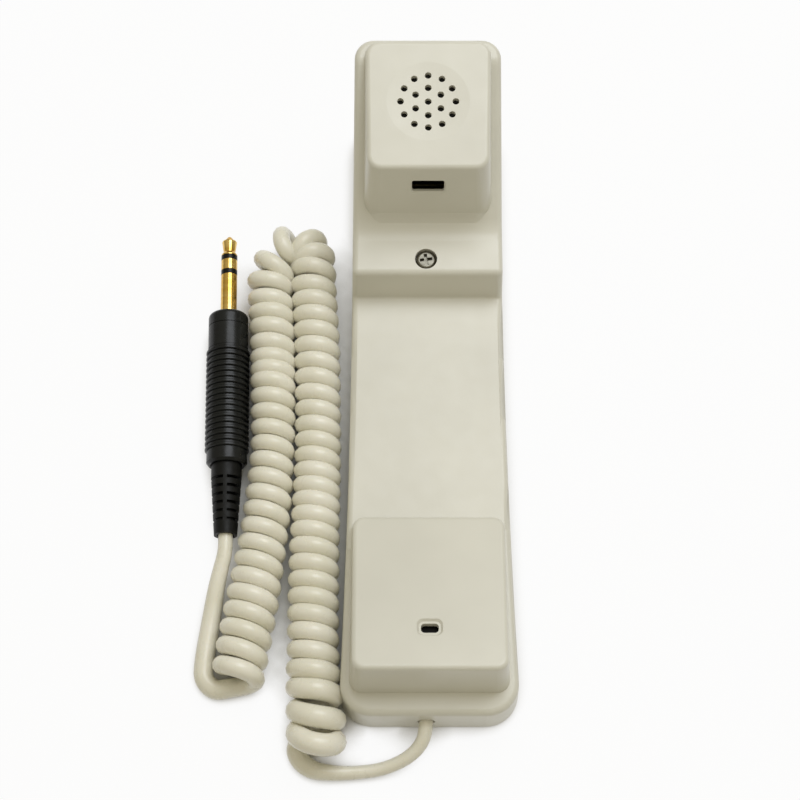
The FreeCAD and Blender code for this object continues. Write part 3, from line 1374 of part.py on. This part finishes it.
# Strain relief: a tapered sleeve with slotted rows and an end ring.
flange_top = barrel_low + barrel_back + relief_flange
relief = turnedOf("PlugRelief", [(relief_bore, flange_top), (inner - thread_gap, flange_top),
                                 (inner - thread_gap, barrel_low + barrel_back + 0.1),
                                 (sleeve_start_radius, barrel_low + barrel_back + 0.1),
                                 (sleeve_start_radius, barrel_low - 4.6), (sleeve_end_radius, relief_end),
                                 (relief_bore, relief_end)], plug_frame)
slots = []
reach = 2 * float(inner)
core_radius = float(relief_bore) + float(relief_core)
for index in range(int(relief_slots)):
    z = float(barrel_low) - float(slot_start) - float(slot_pitch) * index - float(slot_opening)
    slab = Part.makeBox(reach, reach, float(slot_opening), Vector(-reach / 2, -reach / 2, z))
    spine = Part.makeBox(float(spine_width), reach, float(slot_opening), Vector(-float(spine_width) / 2, -reach / 2, z))
    core = Part.makeCylinder(core_radius, float(slot_opening), Vector(0, 0, z))
    slots.append(slab.cut(spine).cut(core))
slot_group = shapeOf("ReliefSlots", Part.makeCompound(slots))
slot_group.Placement = plug_frame
relief_cut = cutOf("ReliefCut", relief, slot_group)
keep(relief_cut, "plug_strain_relief")

doc.recompute()
for thing in doc.Objects:
    if "Invalid" in thing.State or "Error" in thing.State:
        raise RuntimeError("%s did not build: %s" % (thing.Name, thing.State))
os.makedirs("parts", exist_ok=True)
for label, thing in finished:
    shape = thing.Shape
    if shape.isNull() or not shape.isValid() or not shape.Solids:
        raise RuntimeError("%s is not a valid solid" % label)
    shape.exportStep("parts/%s.step" % label)
    box = shape.BoundBox
    print("%-22s solids %d faces %4d volume %9.1f x %.1f..%.1f y %.1f..%.1f z %.2f..%.2f" % (
        label, len(shape.Solids), len(shape.Faces), shape.Volume, box.XMin, box.XMax, box.YMin, box.YMax,
        box.ZMin, box.ZMax))
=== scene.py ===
import math
import bpy
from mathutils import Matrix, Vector


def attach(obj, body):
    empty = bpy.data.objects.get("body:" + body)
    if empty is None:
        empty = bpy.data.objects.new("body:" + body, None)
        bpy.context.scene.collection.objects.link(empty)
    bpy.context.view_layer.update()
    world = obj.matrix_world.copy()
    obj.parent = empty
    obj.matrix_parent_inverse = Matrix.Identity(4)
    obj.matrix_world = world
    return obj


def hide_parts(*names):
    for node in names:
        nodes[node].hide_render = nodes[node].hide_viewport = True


# Telephone handset on its back, with its curly cord and its three-contact plug.
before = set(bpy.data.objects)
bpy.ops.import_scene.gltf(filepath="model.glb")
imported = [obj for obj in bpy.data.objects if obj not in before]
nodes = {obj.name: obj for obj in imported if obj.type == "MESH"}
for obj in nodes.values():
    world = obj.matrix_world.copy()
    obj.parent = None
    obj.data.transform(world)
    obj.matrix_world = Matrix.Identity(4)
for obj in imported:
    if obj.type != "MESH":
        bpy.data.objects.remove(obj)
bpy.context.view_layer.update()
print("frame loaded:", len(nodes), "nodes")

mm = 0.001


# sRGB hex to the linear colour that the shaders take
def toLinear(hexColour):
    parts = [int(hexColour[i:i + 2], 16) / 255 for i in (1, 3, 5)]
    return [p / 12.92 if p <= 0.04045 else ((p + 0.055) / 1.055) ** 2.4 for p in parts] + [1.0]


# adds one node; an input is a plain value or the socket that feeds it
def addNode(tree, kind, inputs=None, **settings):
    node = tree.nodes.new(kind)
    for name, value in settings.items():
        setattr(node, name, value)
    for name, value in (inputs or {}).items():
        if isinstance(value, bpy.types.NodeSocket):
            tree.links.new(value, node.inputs[name])
        else:
            node.inputs[name].default_value = value
    return node


def newMaterial(name):
    material = bpy.data.materials.new(name)
    material.use_nodes = True
    tree = material.node_tree
    tree.nodes.clear()
    place = addNode(tree, "ShaderNodeTexCoord").outputs["Object"]
    return material, tree, place


# two tones that drift into each other over a given size
def driftColour(tree, place, size, tones, detail=3.0, stops=(0.35, 0.65)):
    noise = addNode(tree, "ShaderNodeTexNoise",
                    {"Vector": place, "Scale": 1 / size, "Detail": detail})
    ramp = addNode(tree, "ShaderNodeValToRGB", {"Fac": noise.outputs["Fac"]})
    for element, position, tone in zip(ramp.color_ramp.elements, stops, tones):
        element.position = position
        element.color = toLinear(tone)
    return ramp.outputs["Color"]


# patches that are a little smoother or duller; nearly all of the noise lies between its two ends
def driftRoughness(tree, place, size, low, high, detail=4.0, noiseLow=0.3, noiseHigh=0.7):
    noise = addNode(tree, "ShaderNodeTexNoise",
                    {"Vector": place, "Scale": 1 / size, "Detail": detail})
    span = addNode(tree, "ShaderNodeMapRange", {
        "Value": noise.outputs["Fac"],
        "From Min": noiseLow, "From Max": noiseHigh, "To Min": low, "To Max": high})
    return span.outputs["Result"]


# bump of a given grain size and depth, on top of another bump if there is one
def grain(tree, place, size, depth, under=None, detail=2.0):
    noise = addNode(tree, "ShaderNodeTexNoise",
                    {"Vector": place, "Scale": 1 / size, "Detail": detail})
    bump = addNode(tree, "ShaderNodeBump", {"Height": noise.outputs["Fac"], "Distance": depth})
    if under is not None:
        tree.links.new(under, bump.inputs["Normal"])
    return bump.outputs["Normal"]


caseLook = {
    "tones": ("#D3D1C6", "#DAD8CD"), "toneSize": 38 * mm,
    "roughness": (0.29, 0.36), "roughSize": 5 * mm, "ior": 1.53,
    "sparkGrain": 0.45 * mm, "sparkDepth": 0.008 * mm,  # drawn coarser than its 0.1 mm, to show
    "flow": 14 * mm, "flowDepth": 0.03 * mm,
}


# injection-moulded ABS out of a finely spark-eroded mould: matt grain over faint flow waves
def makeCasePlastic():
    material, tree, place = newMaterial("mouldedAbsWarmGrey")
    waves = grain(tree, place, caseLook["flow"], caseLook["flowDepth"])
    shader = addNode(tree, "ShaderNodeBsdfPrincipled", {
        "Base Color": driftColour(tree, place, caseLook["toneSize"], caseLook["tones"]),
        "Roughness": driftRoughness(tree, place, caseLook["roughSize"], *caseLook["roughness"]),
        "IOR": caseLook["ior"],
        "Normal": grain(tree, place, caseLook["sparkGrain"], caseLook["sparkDepth"], waves),
    })
    addNode(tree, "ShaderNodeOutputMaterial", {"Surface": shader.outputs["BSDF"]})
    return material


cordLook = {
    "tones": ("#E6E3D4", "#EDEADE"), "toneSize": 11 * mm,
    "roughness": (0.25, 0.33), "roughSize": 3 * mm, "ior": 1.52,
    "drawGrain": 0.5 * mm, "drawDepth": 0.012 * mm,  # coarser than real, to show
    "scatter": 0.06, "scatterReach": (2 * mm, 1.6 * mm, 1 * mm), "scatterScale": 0.5,
}


# soft PVC jacket, extruded and heat-set into its curl: smooth with an oily sheen
def makeCordJacket():
    material, tree, place = newMaterial("extrudedPvcJacket")
    shader = addNode(tree, "ShaderNodeBsdfPrincipled", {
        "Base Color": driftColour(tree, place, cordLook["toneSize"], cordLook["tones"]),
        "Roughness": driftRoughness(tree, place, cordLook["roughSize"], *cordLook["roughness"]),
        "IOR": cordLook["ior"],
        "Subsurface Weight": cordLook["scatter"],
        "Subsurface Radius": cordLook["scatterReach"],
        "Subsurface Scale": cordLook["scatterScale"],
        "Normal": grain(tree, place, cordLook["drawGrain"], cordLook["drawDepth"]),
    })
    addNode(tree, "ShaderNodeOutputMaterial", {"Surface": shader.outputs["BSDF"]})
    return material


# turned or drawn metal: fine tool lines round or along it, a little uneven in tone; the lines
# are drawn coarser than their 0.1 mm, so that they show
def makeMetal(name, tones, roughness, squash=0.15, toneSize=2.5 * mm, roughSize=1.5 * mm,
              lineSize=0.35 * mm, lineDepth=0.003 * mm):
    material, tree, place = newMaterial(name)
    drawn = addNode(tree, "ShaderNodeMapping", {"Vector": place, "Scale": (squash, 1.0, squash)})
    along = drawn.outputs["Vector"]
    shader = addNode(tree, "ShaderNodeBsdfPrincipled", {
        "Base Color": driftColour(tree, along, toneSize, tones),
        "Metallic": 1.0,
        "Roughness": driftRoughness(tree, along, roughSize, *roughness),
        "Normal": grain(tree, along, lineSize, lineDepth),
    })
    addNode(tree, "ShaderNodeOutputMaterial", {"Surface": shader.outputs["BSDF"]})
    return material


# everything that is moulded, painted, dipped or woven
def makeCoating(name, tones, roughness, ior, shine=0.5, toneSize=6 * mm,
                grainSize=0.4 * mm, grainDepth=0.008 * mm):
    material, tree, place = newMaterial(name)
    shader = addNode(tree, "ShaderNodeBsdfPrincipled", {
        "Base Color": driftColour(tree, place, toneSize, tones),
        "Roughness": driftRoughness(tree, place, toneSize / 3, *roughness),
        "IOR": ior,
        "Specular IOR Level": shine,
        "Normal": grain(tree, place, grainSize, grainDepth),
    })
    addNode(tree, "ShaderNodeOutputMaterial", {"Surface": shader.outputs["BSDF"]})
    return material


casePlastic = makeCasePlastic()
cordJacket = makeCordJacket()
# gold flash over nickel on turned brass: warm and bright, with faint tool lines
goldPlate = makeMetal("goldPlatedTurnedBrass", ("#D5AA52", "#E8C77C"), (0.11, 0.19))
# zinc-plated, yellow-passivated screws: grey with an olive cast
screwSteel = makeMetal("zincPlatedSteel", ("#67645A", "#8E8B80"), (0.26, 0.36))
# rolled spring-steel strip, passivated: brown and dull
stripSteel = makeMetal("passivatedSpringSteel", ("#6E6547", "#8C8263"), (0.35, 0.50))
# turned brass insert and stamped brass lugs: warm, half dull
plainBrass = makeMetal("plainBrass", ("#B9924E", "#CFA963"), (0.25, 0.36))
# wound coil of enamelled wire: reddish, half glossy
copperWinding = makeMetal("enamelledCopper", ("#A2572E", "#C27344"), (0.25, 0.38))
# sprayed lacquer over the turned barrel and collar: near black with a satin light
blackLacquer = makeCoating("satinBlackLacquer", ("#0D0F11", "#131617"), (0.24, 0.34), 1.5,
                           shine=0.3)
# moulded rubber of strain relief, seal and boot: deep black, dull
blackRubber = makeCoating("mouldedBlackRubber", ("#080909", "#0D0E0E"), (0.40, 0.52), 1.52,
                          shine=0.2)
# pressed phenolic of bands, carrier and blocks: black with a low gloss
blackInsulator = makeCoating("blackPhenolicInsulator", ("#050505", "#0A0A0A"), (0.25, 0.35), 1.5,
                             shine=0.25)
# woven cloth on the receiver and felt round the microphone: black without any shine
blackCloth = makeCoating("acousticCloth", ("#0E0E0E", "#1A1A1A"), (0.80, 0.95), 1.45,
                         grainSize=0.3 * mm, grainDepth=0.08 * mm)
# pressed polyester diaphragm: pale and glossy
clearFilm = makeCoating("polyesterFilm", ("#BDB79E", "#CFC9B2"), (0.20, 0.30), 1.57)
# sand-cast weight and iron of the magnet system, painted: dark and coarse
castIron = makeCoating("sandCastIron", ("#363636", "#464544"), (0.50, 0.65), 1.6,
                       grainSize=0.6 * mm, grainDepth=0.05 * mm)
# etched laminate under lacquer: green, smooth, half glossy
boardLaminate = makeCoating("lacqueredLaminate", ("#1F4A2C", "#2A5A36"), (0.30, 0.40), 1.55)
# PVC extruded over the conductors: smooth red
redInsulation = makeCoating("pvcWireInsulation", ("#A63A2A", "#B94A36"), (0.35, 0.45), 1.5)
# resin-dipped capacitors and resistors: brown and glossy
dippedResin = makeCoating("dippedResinBody", ("#6B4423", "#7B5230"), (0.25, 0.35), 1.55)

looks = {
    casePlastic: ["front_cover", "rear_cover"],
    cordJacket: ["cord_anchor"],
    goldPlate: ["plug_sleeve", "plug_ring", "plug_tip"],
    screwSteel: ["cover_screw", "bracket_screws", "board_screws", "terminal_screws",
                 "ballast_screws"],
    stripSteel: ["hook_plate", "receiver_bracket"],
    plainBrass: ["screw_insert", "plug_lugs"],
    copperWinding: ["voice_coil"],
    blackLacquer: ["plug_collar", "plug_barrel"],
    blackRubber: ["plug_strain_relief", "receiver_gasket", "microphone_boot"],
    blackInsulator: ["plug_band_sleeve", "plug_band_ring", "plug_carrier", "receiver_frame",
                     "terminal_block"],
    blackCloth: ["receiver_cloth", "microphone_capsule"],
    clearFilm: ["receiver_diaphragm"],
    castIron: ["receiver_magnet", "receiver_yoke", "ballast_weight"],
    boardLaminate: ["circuit_board", "receiver_tag_board"],
    redInsulation: ["cord_conductors"],
    dippedResin: ["capacitors", "resistors"],
}
for material, names in looks.items():
    for name in names:
        nodes[name].data.materials.clear()
        nodes[name].data.materials.append(material)
print("materials on the nodes:", len(looks))

# Where the cord runs, in millimetres. A point gives x, y, z and the cord's thickness there.
# A station of the coil gives x, y, half width and half height of the curls, their pitch, how far
# the top of a curl leans back along the coil, and the thickness.
cordRun = {
    "diameter": 4.6,
    "length": 2.0,
    "floorGap": 0.05,
    "turns": 58,
    "pointsPerTurn": 12,
    "anchor": (-0.9, -99.9, 7.6, 4.2),
    "caseTail": [(-0.9, -105.8, 7.6, 4.2), (-3.0, -110.3, 6.2, 4.1), (-7.6, -113.7, 4.2, 4.0),
                 (-14.2, -116.0, 2.5, 3.9), (-21.6, -116.8, 2.1, 4.0), (-28.0, -117.0, 2.35, 4.5)],
    "fold": [(-34.6, -116.4, 2.9, 5.5), (-38.6, -113.4, 3.1, 5.9), (-39.8, -109.6, 3.2, 6.1),
             (-37.6, -108.6, 3.3, 6.3)],
    "stations": [
        (-33.3, -110.8, 5.6, 5.6, 5.85, 4, 6.8), (-33.4, -104.0, 5.65, 5.6, 6.73, 2.2, 6.9),
        (-33.9, -97.0, 5.6, 5.5, 7.63, 0.8, 6.6), (-34.5, -90.0, 5.4, 5.4, 5.43, 0.4, 6.2),
        (-34.9, -80.0, 5.1, 5.2, 5.8, 0, 5.8), (-34.95, -65.4, 5.1, 5.2, 5.28, 0, 5.7),
        (-35.0, -49.5, 5.05, 5.15, 5.37, 0, 5.6), (-34.6, -33.3, 4.85, 4.9, 4.73, 0, 5.5),
        (-34.3, -16.7, 4.65, 4.7, 5.17, 0, 5.5), (-34.7, 0.2, 4.6, 4.6, 5.45, 0, 5.6),
        (-35.15, 17.5, 4.7, 4.6, 5.57, 0, 5.6), (-36.05, 31.0, 4.7, 4.6, 5.36, 0, 5.6),
        (-36.6, 38.0, 4.7, 4.6, 5.18, 0, 5.6), (-36.85, 43.0, 4.75, 4.6, 6.76, 0, 5.6),
        (-36.9, 47.9, 4.75, 4.7, 5.37, 0, 5.6), (-37.7, 51.6, 4.9, 4.8, 3.43, 0, 5.6),
        (-40.9, 55.2, 5, 4.9, 6.51, 0, 5.6), (-47.9, 52.9, 5, 4.9, 8.56, 0, 5.6),
        (-48.0, 50.0, 5, 4.9, 7.81, 0, 5.6), (-50.4, 45.2, 4.8, 4.8, 6.19, 0, 5.6),
        (-50.9, 41.5, 4.8, 4.7, 5.18, 0, 5.5), (-50.6, 37.0, 4.75, 4.6, 6.67, 0, 5.5),
        (-50.2, 31.0, 4.75, 4.6, 4.36, 0, 5.5), (-49.6, 23.0, 4.75, 4.6, 5.87, 0, 5.5),
        (-49.25, 16.0, 4.7, 4.6, 5.13, 0, 5.5), (-49.05, 10.0, 4.65, 4.6, 3.56, 0, 5.4),
        (-49.0, 4.0, 4.6, 4.6, 5.42, 0, 5.5), (-48.7, -5.0, 4.6, 4.6, 5.31, 0, 5.3),
        (-48.5, -16.7, 4.45, 4.6, 5.5, 0, 5.25), (-49.4, -33.3, 4.85, 4.8, 5.53, 0, 5.3),
        (-50.85, -47.5, 5, 5, 5.49, 0, 5.3), (-53.4, -65.4, 5.5, 5.2, 5.47, 0, 5.6),
        (-55.75, -80.0, 5.5, 5.2, 5.84, 0, 5.7), (-57.0, -88.0, 5.4, 5.1, 6.16, 0, 5.7),
        (-57.2, -91.1, 5.2, 5, 6.84, 0, 5.6),
    ],
    "plugTail": [(-59.4, -91.3, 3.1, 5.9), (-64.5, -92.5, 3.0, 6.0), (-68.0, -88.7, 3.0, 6.0),
                 (-67.9, -84.5, 3.0, 6.0), (-67.4, -79.5, 3.0, 6.0), (-66.7, -74.5, 3.1, 5.9),
                 (-65.9, -68.5, 3.5, 5.7), (-65.0, -62.0, 4.7, 5.3), (-63.8, -56.0, 6.0, 4.9)],
    # the plug: middle of its collar's front, turn in degrees, and how far along it the cord runs
    "collarFront": (-63.95, 30.1, 7.0),
    "plugTurn": 1.19,
    "onPlug": [-80.2, -74.72, -25.49],
    # how finely the curves are drawn and the coil is measured
    "curveSteps": 6,
    "axisSteps": 24,
    "roundSteps": 4,
    "windingSteps": 4000,
    # points of the coil's middle line, ahead and behind, that give its direction
    "lookAhead": 4,
    "lookBack": 3,
}


# one open NURBS spline through the pull of its points; a diameter makes it a solid cord
def addRoute(name, points, steps, diameter=None):
    curve = bpy.data.curves.new(name, "CURVE")
    curve.dimensions = "3D"
    spline = curve.splines.new("NURBS")
    spline.points.add(len(points) - 1)
    for point, (x, y, z, thickness) in zip(spline.points, points):
        point.co = (x * mm, y * mm, z * mm, 1.0)
        point.radius = thickness / cordRun["diameter"]
    spline.order_u = 3
    spline.use_endpoint_u = True
    curve.resolution_u = steps
    if diameter:
        curve.bevel_depth = diameter * mm / 2
        curve.bevel_resolution = cordRun["roundSteps"]
        curve.use_fill_caps = True
    obj = bpy.data.objects.new(name, curve)
    bpy.context.scene.collection.objects.link(obj)
    return obj


# the line that a route really takes, in millimetres
def readRoute(obj):
    bpy.context.view_layer.update()
    depsgraph = bpy.context.evaluated_depsgraph_get()
    mesh = bpy.data.meshes.new_from_object(obj.evaluated_get(depsgraph))
    places = [Vector(v.co) / mm for v in mesh.vertices]
    bpy.data.meshes.remove(mesh)
    return places


# the stretch of a growing list, from a given start, that a value lies in
def stretchOf(marks, value, start=0):
    i = start
    while i < len(marks) - 2 and marks[i + 1] < value:
        i += 1
    return i


# points of the curls, wound round the coil's own middle line
def curlPoints():
    stations = cordRun["stations"]
    perTurn = cordRun["pointsPerTurn"]
    steps = cordRun["windingSteps"]
    axis = addRoute("coilAxis", [(x, y, 0, 1) for x, y, *rest in stations], cordRun["axisSteps"])
    line = readRoute(axis)
    bpy.data.objects.remove(axis)
    marks = [0.0]
    for here, there in zip(line, line[1:]):
        marks.append(marks[-1] + (there - here).length)
    # where each station lies along that line
    stops = []
    for x, y, *rest in stations:
        nearest = min(range(len(line)), key=lambda i: (line[i] - Vector((x, y, 0))).length)
        stops.append(marks[nearest])

    def shapeAt(distance):
        i = stretchOf(stops, distance)
        share = (distance - stops[i]) / (stops[i + 1] - stops[i])
        share = min(max(share, 0), 1)
        return [a + (b - a) * share for a, b in zip(stations[i][2:], stations[i + 1][2:])]

    # turns wound so far at each small step, by the pitches
    turned = [0.0]
    for i in range(steps):
        turned.append(turned[-1] + marks[-1] / steps / shapeAt((i + 0.5) / steps * marks[-1])[2])
    stretch = cordRun["turns"] / turned[-1]
    print("coil: pitches fitted by", round(1 / stretch, 4))
    # a quadratic spline runs inside its points by this much at this many a turn
    swell = 1 / (0.5 + 0.5 * math.cos(math.pi / perTurn) ** 2)
    places = []
    step = 0
    for index in range(cordRun["turns"] * perTurn + 1):
        wanted = index / perTurn / stretch
        step = stretchOf(turned, wanted, step)
        share = (wanted - turned[step]) / (turned[step + 1] - turned[step])
        distance = (step + share) / steps * marks[-1]
        i = stretchOf(marks, distance)
        centre = line[i].lerp(line[i + 1], (distance - marks[i]) / (marks[i + 1] - marks[i]))
        ahead = line[min(i + cordRun["lookAhead"], len(line) - 1)]
        behind = line[max(i - cordRun["lookBack"], 0)]
        along = (ahead - behind).normalized()
        side = along.cross(Vector((0, 0, 1)))
        halfWidth, halfHeight, pitch, lean, thickness = shapeAt(distance)
        centre.z = halfHeight + thickness / 2 + cordRun["floorGap"]
        angle = 2 * math.pi * index / perTurn - math.pi / 2
        across = side * halfWidth * math.cos(angle)
        upright = Vector((0, 0, halfHeight)) * math.sin(angle)
        place = centre + swell * (across + upright - along * lean * math.sin(angle))
        places.append((*place, thickness))
    return places


# a point on the plug's middle line, from the collar's front towards the tip
def onPlug(distance):
    turn = math.radians(cordRun["plugTurn"])
    x, y, z = cordRun["collarFront"]
    return (x - math.sin(turn) * distance, y + math.cos(turn) * distance, z, cordRun["diameter"])


def makeCord():
    points = [cordRun["anchor"]] + cordRun["caseTail"] + cordRun["fold"]
    points += curlPoints()
    points += cordRun["plugTail"] + [onPlug(distance) for distance in cordRun["onPlug"]]
    cord = addRoute("curlyCord", points, cordRun["curveSteps"], cordRun["diameter"])
    cord.data.materials.append(cordJacket)
    return cord


cord = makeCord()
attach(cord, "handset")
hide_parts("cord_tail_handset", "cord_coil", "cord_tail_plug", "cord_in_plug")
print("cord laid, points:", len(cord.data.splines[0].points))

studio = {
    "floorTones": ("#DEDEDC", "#DBDBD9"), "floorDrift": 60 * mm, "floorHalf": 3,
    # how much of its own white the floor shows, and the narrow gaps where an occlusion mask takes
    # that white away as painted shade
    "floorLift": 0.94, "gapShadeReach": 9 * mm, "gapShadeClosed": 0.3, "gapShadeOpen": 0.7,
    "keyPlace": (0.25, 0.45, 1.0), "keySize": 0.8, "keyPower": 6.2, "keyTone": "#F2F7FF",
    "fillTone": "#FFF7DE", "fillLow": 0.27, "fillHigh": 0.66,
    "cameraPlace": (-0.0087, -0.2357, 0.5774), "cameraTilt": 22.5,
    "lens": 87.75, "sensor": 36, "nearest": 10 * mm,
}


# pale board under the object; for the camera it is partly its own plain white, except in the
# narrow gaps between the curls, where an occlusion mask paints shade there instead; it keeps the
# shadow
def makeFloor():
    half = studio["floorHalf"]
    corners = [(-half, -half, 0), (half, -half, 0), (half, half, 0), (-half, half, 0)]
    mesh = bpy.data.meshes.new("floor")
    mesh.from_pydata(corners, [], [(0, 1, 2, 3)])
    floor = bpy.data.objects.new("floor", mesh)
    bpy.context.scene.collection.objects.link(floor)
    material, tree, place = newMaterial("paleBoard")
    board = addNode(tree, "ShaderNodeBsdfDiffuse", {
        "Color": driftColour(tree, place, studio["floorDrift"], studio["floorTones"])})
    glow = addNode(tree, "ShaderNodeEmission", {"Color": (1, 1, 1, 1), "Strength": 1.0})
    rays = addNode(tree, "ShaderNodeLightPath").outputs
    seen = rays["Is Camera Ray"]
    for other in ("Is Glossy Ray", "Is Transmission Ray"):
        either = addNode(tree, "ShaderNodeMath", {0: seen, 1: rays[other]}, operation="MAXIMUM")
        seen = either.outputs[0]
    # painted shade: occlusion takes the floor's own white away in the narrow gaps between the
    # curls
    gapShadeMask = addNode(tree, "ShaderNodeAmbientOcclusion", {"Distance": studio["gapShadeReach"]})
    liftOutsideGapShade = addNode(tree, "ShaderNodeMapRange", {
        "Value": gapShadeMask.outputs["AO"], "From Min": studio["gapShadeClosed"],
        "From Max": studio["gapShadeOpen"], "To Min": 0.0, "To Max": studio["floorLift"]})
    lift = addNode(tree, "ShaderNodeMath", {0: seen, 1: liftOutsideGapShade.outputs["Result"]},
                   operation="MULTIPLY")
    mixed = addNode(tree, "ShaderNodeMixShader",
                    {0: lift.outputs[0], 1: board.outputs[0], 2: glow.outputs[0]})
    addNode(tree, "ShaderNodeOutputMaterial", {"Surface": mixed.outputs[0]})
    mesh.materials.append(material)


# a room that is dim near the table and brighter overhead
def makeRoom():
    world = bpy.data.worlds.new("softRoom")
    bpy.context.scene.world = world
    world.use_nodes = True
    tree = world.node_tree
    tree.nodes.clear()
    ray = addNode(tree, "ShaderNodeTexCoord").outputs["Generated"]
    height = addNode(tree, "ShaderNodeSeparateXYZ", {0: ray}).outputs["Z"]
    rise = addNode(tree, "ShaderNodeMapRange", {
        "Value": height, "From Min": 0.0, "From Max": 1.0,
        "To Min": studio["fillLow"], "To Max": studio["fillHigh"]})
    fill = addNode(tree, "ShaderNodeBackground", {
        "Color": toLinear(studio["fillTone"]), "Strength": rise.outputs["Result"]})
    addNode(tree, "ShaderNodeOutputWorld", {"Surface": fill.outputs[0]})


# one big round lamp, high up to the right and beyond the ear end
def makeKeyLamp():
    light = bpy.data.lights.new("keyLamp", "AREA")
    light.shape = "DISK"
    light.size = studio["keySize"]
    light.energy = studio["keyPower"]
    light.color = toLinear(studio["keyTone"])[:3]
    lamp = bpy.data.objects.new("keyLamp", light)
    lamp.location = studio["keyPlace"]
    lamp.rotation_euler = (-Vector(studio["keyPlace"])).to_track_quat("-Z", "Y").to_euler()
    bpy.context.scene.collection.objects.link(lamp)


def makeCamera():
    data = bpy.data.cameras.new("camera")
    data.lens = studio["lens"]
    data.sensor_width = studio["sensor"]
    data.clip_start = studio["nearest"]
    camera = bpy.data.objects.new("camera", data)
    camera.location = studio["cameraPlace"]
    camera.rotation_euler = (math.radians(studio["cameraTilt"]), 0, 0)
    bpy.context.scene.collection.objects.link(camera)
    bpy.context.scene.camera = camera


makeFloor()
makeRoom()
makeKeyLamp()
makeCamera()
bpy.context.scene.view_settings.view_transform = "Standard"
print("floor, room, lamp and camera set")
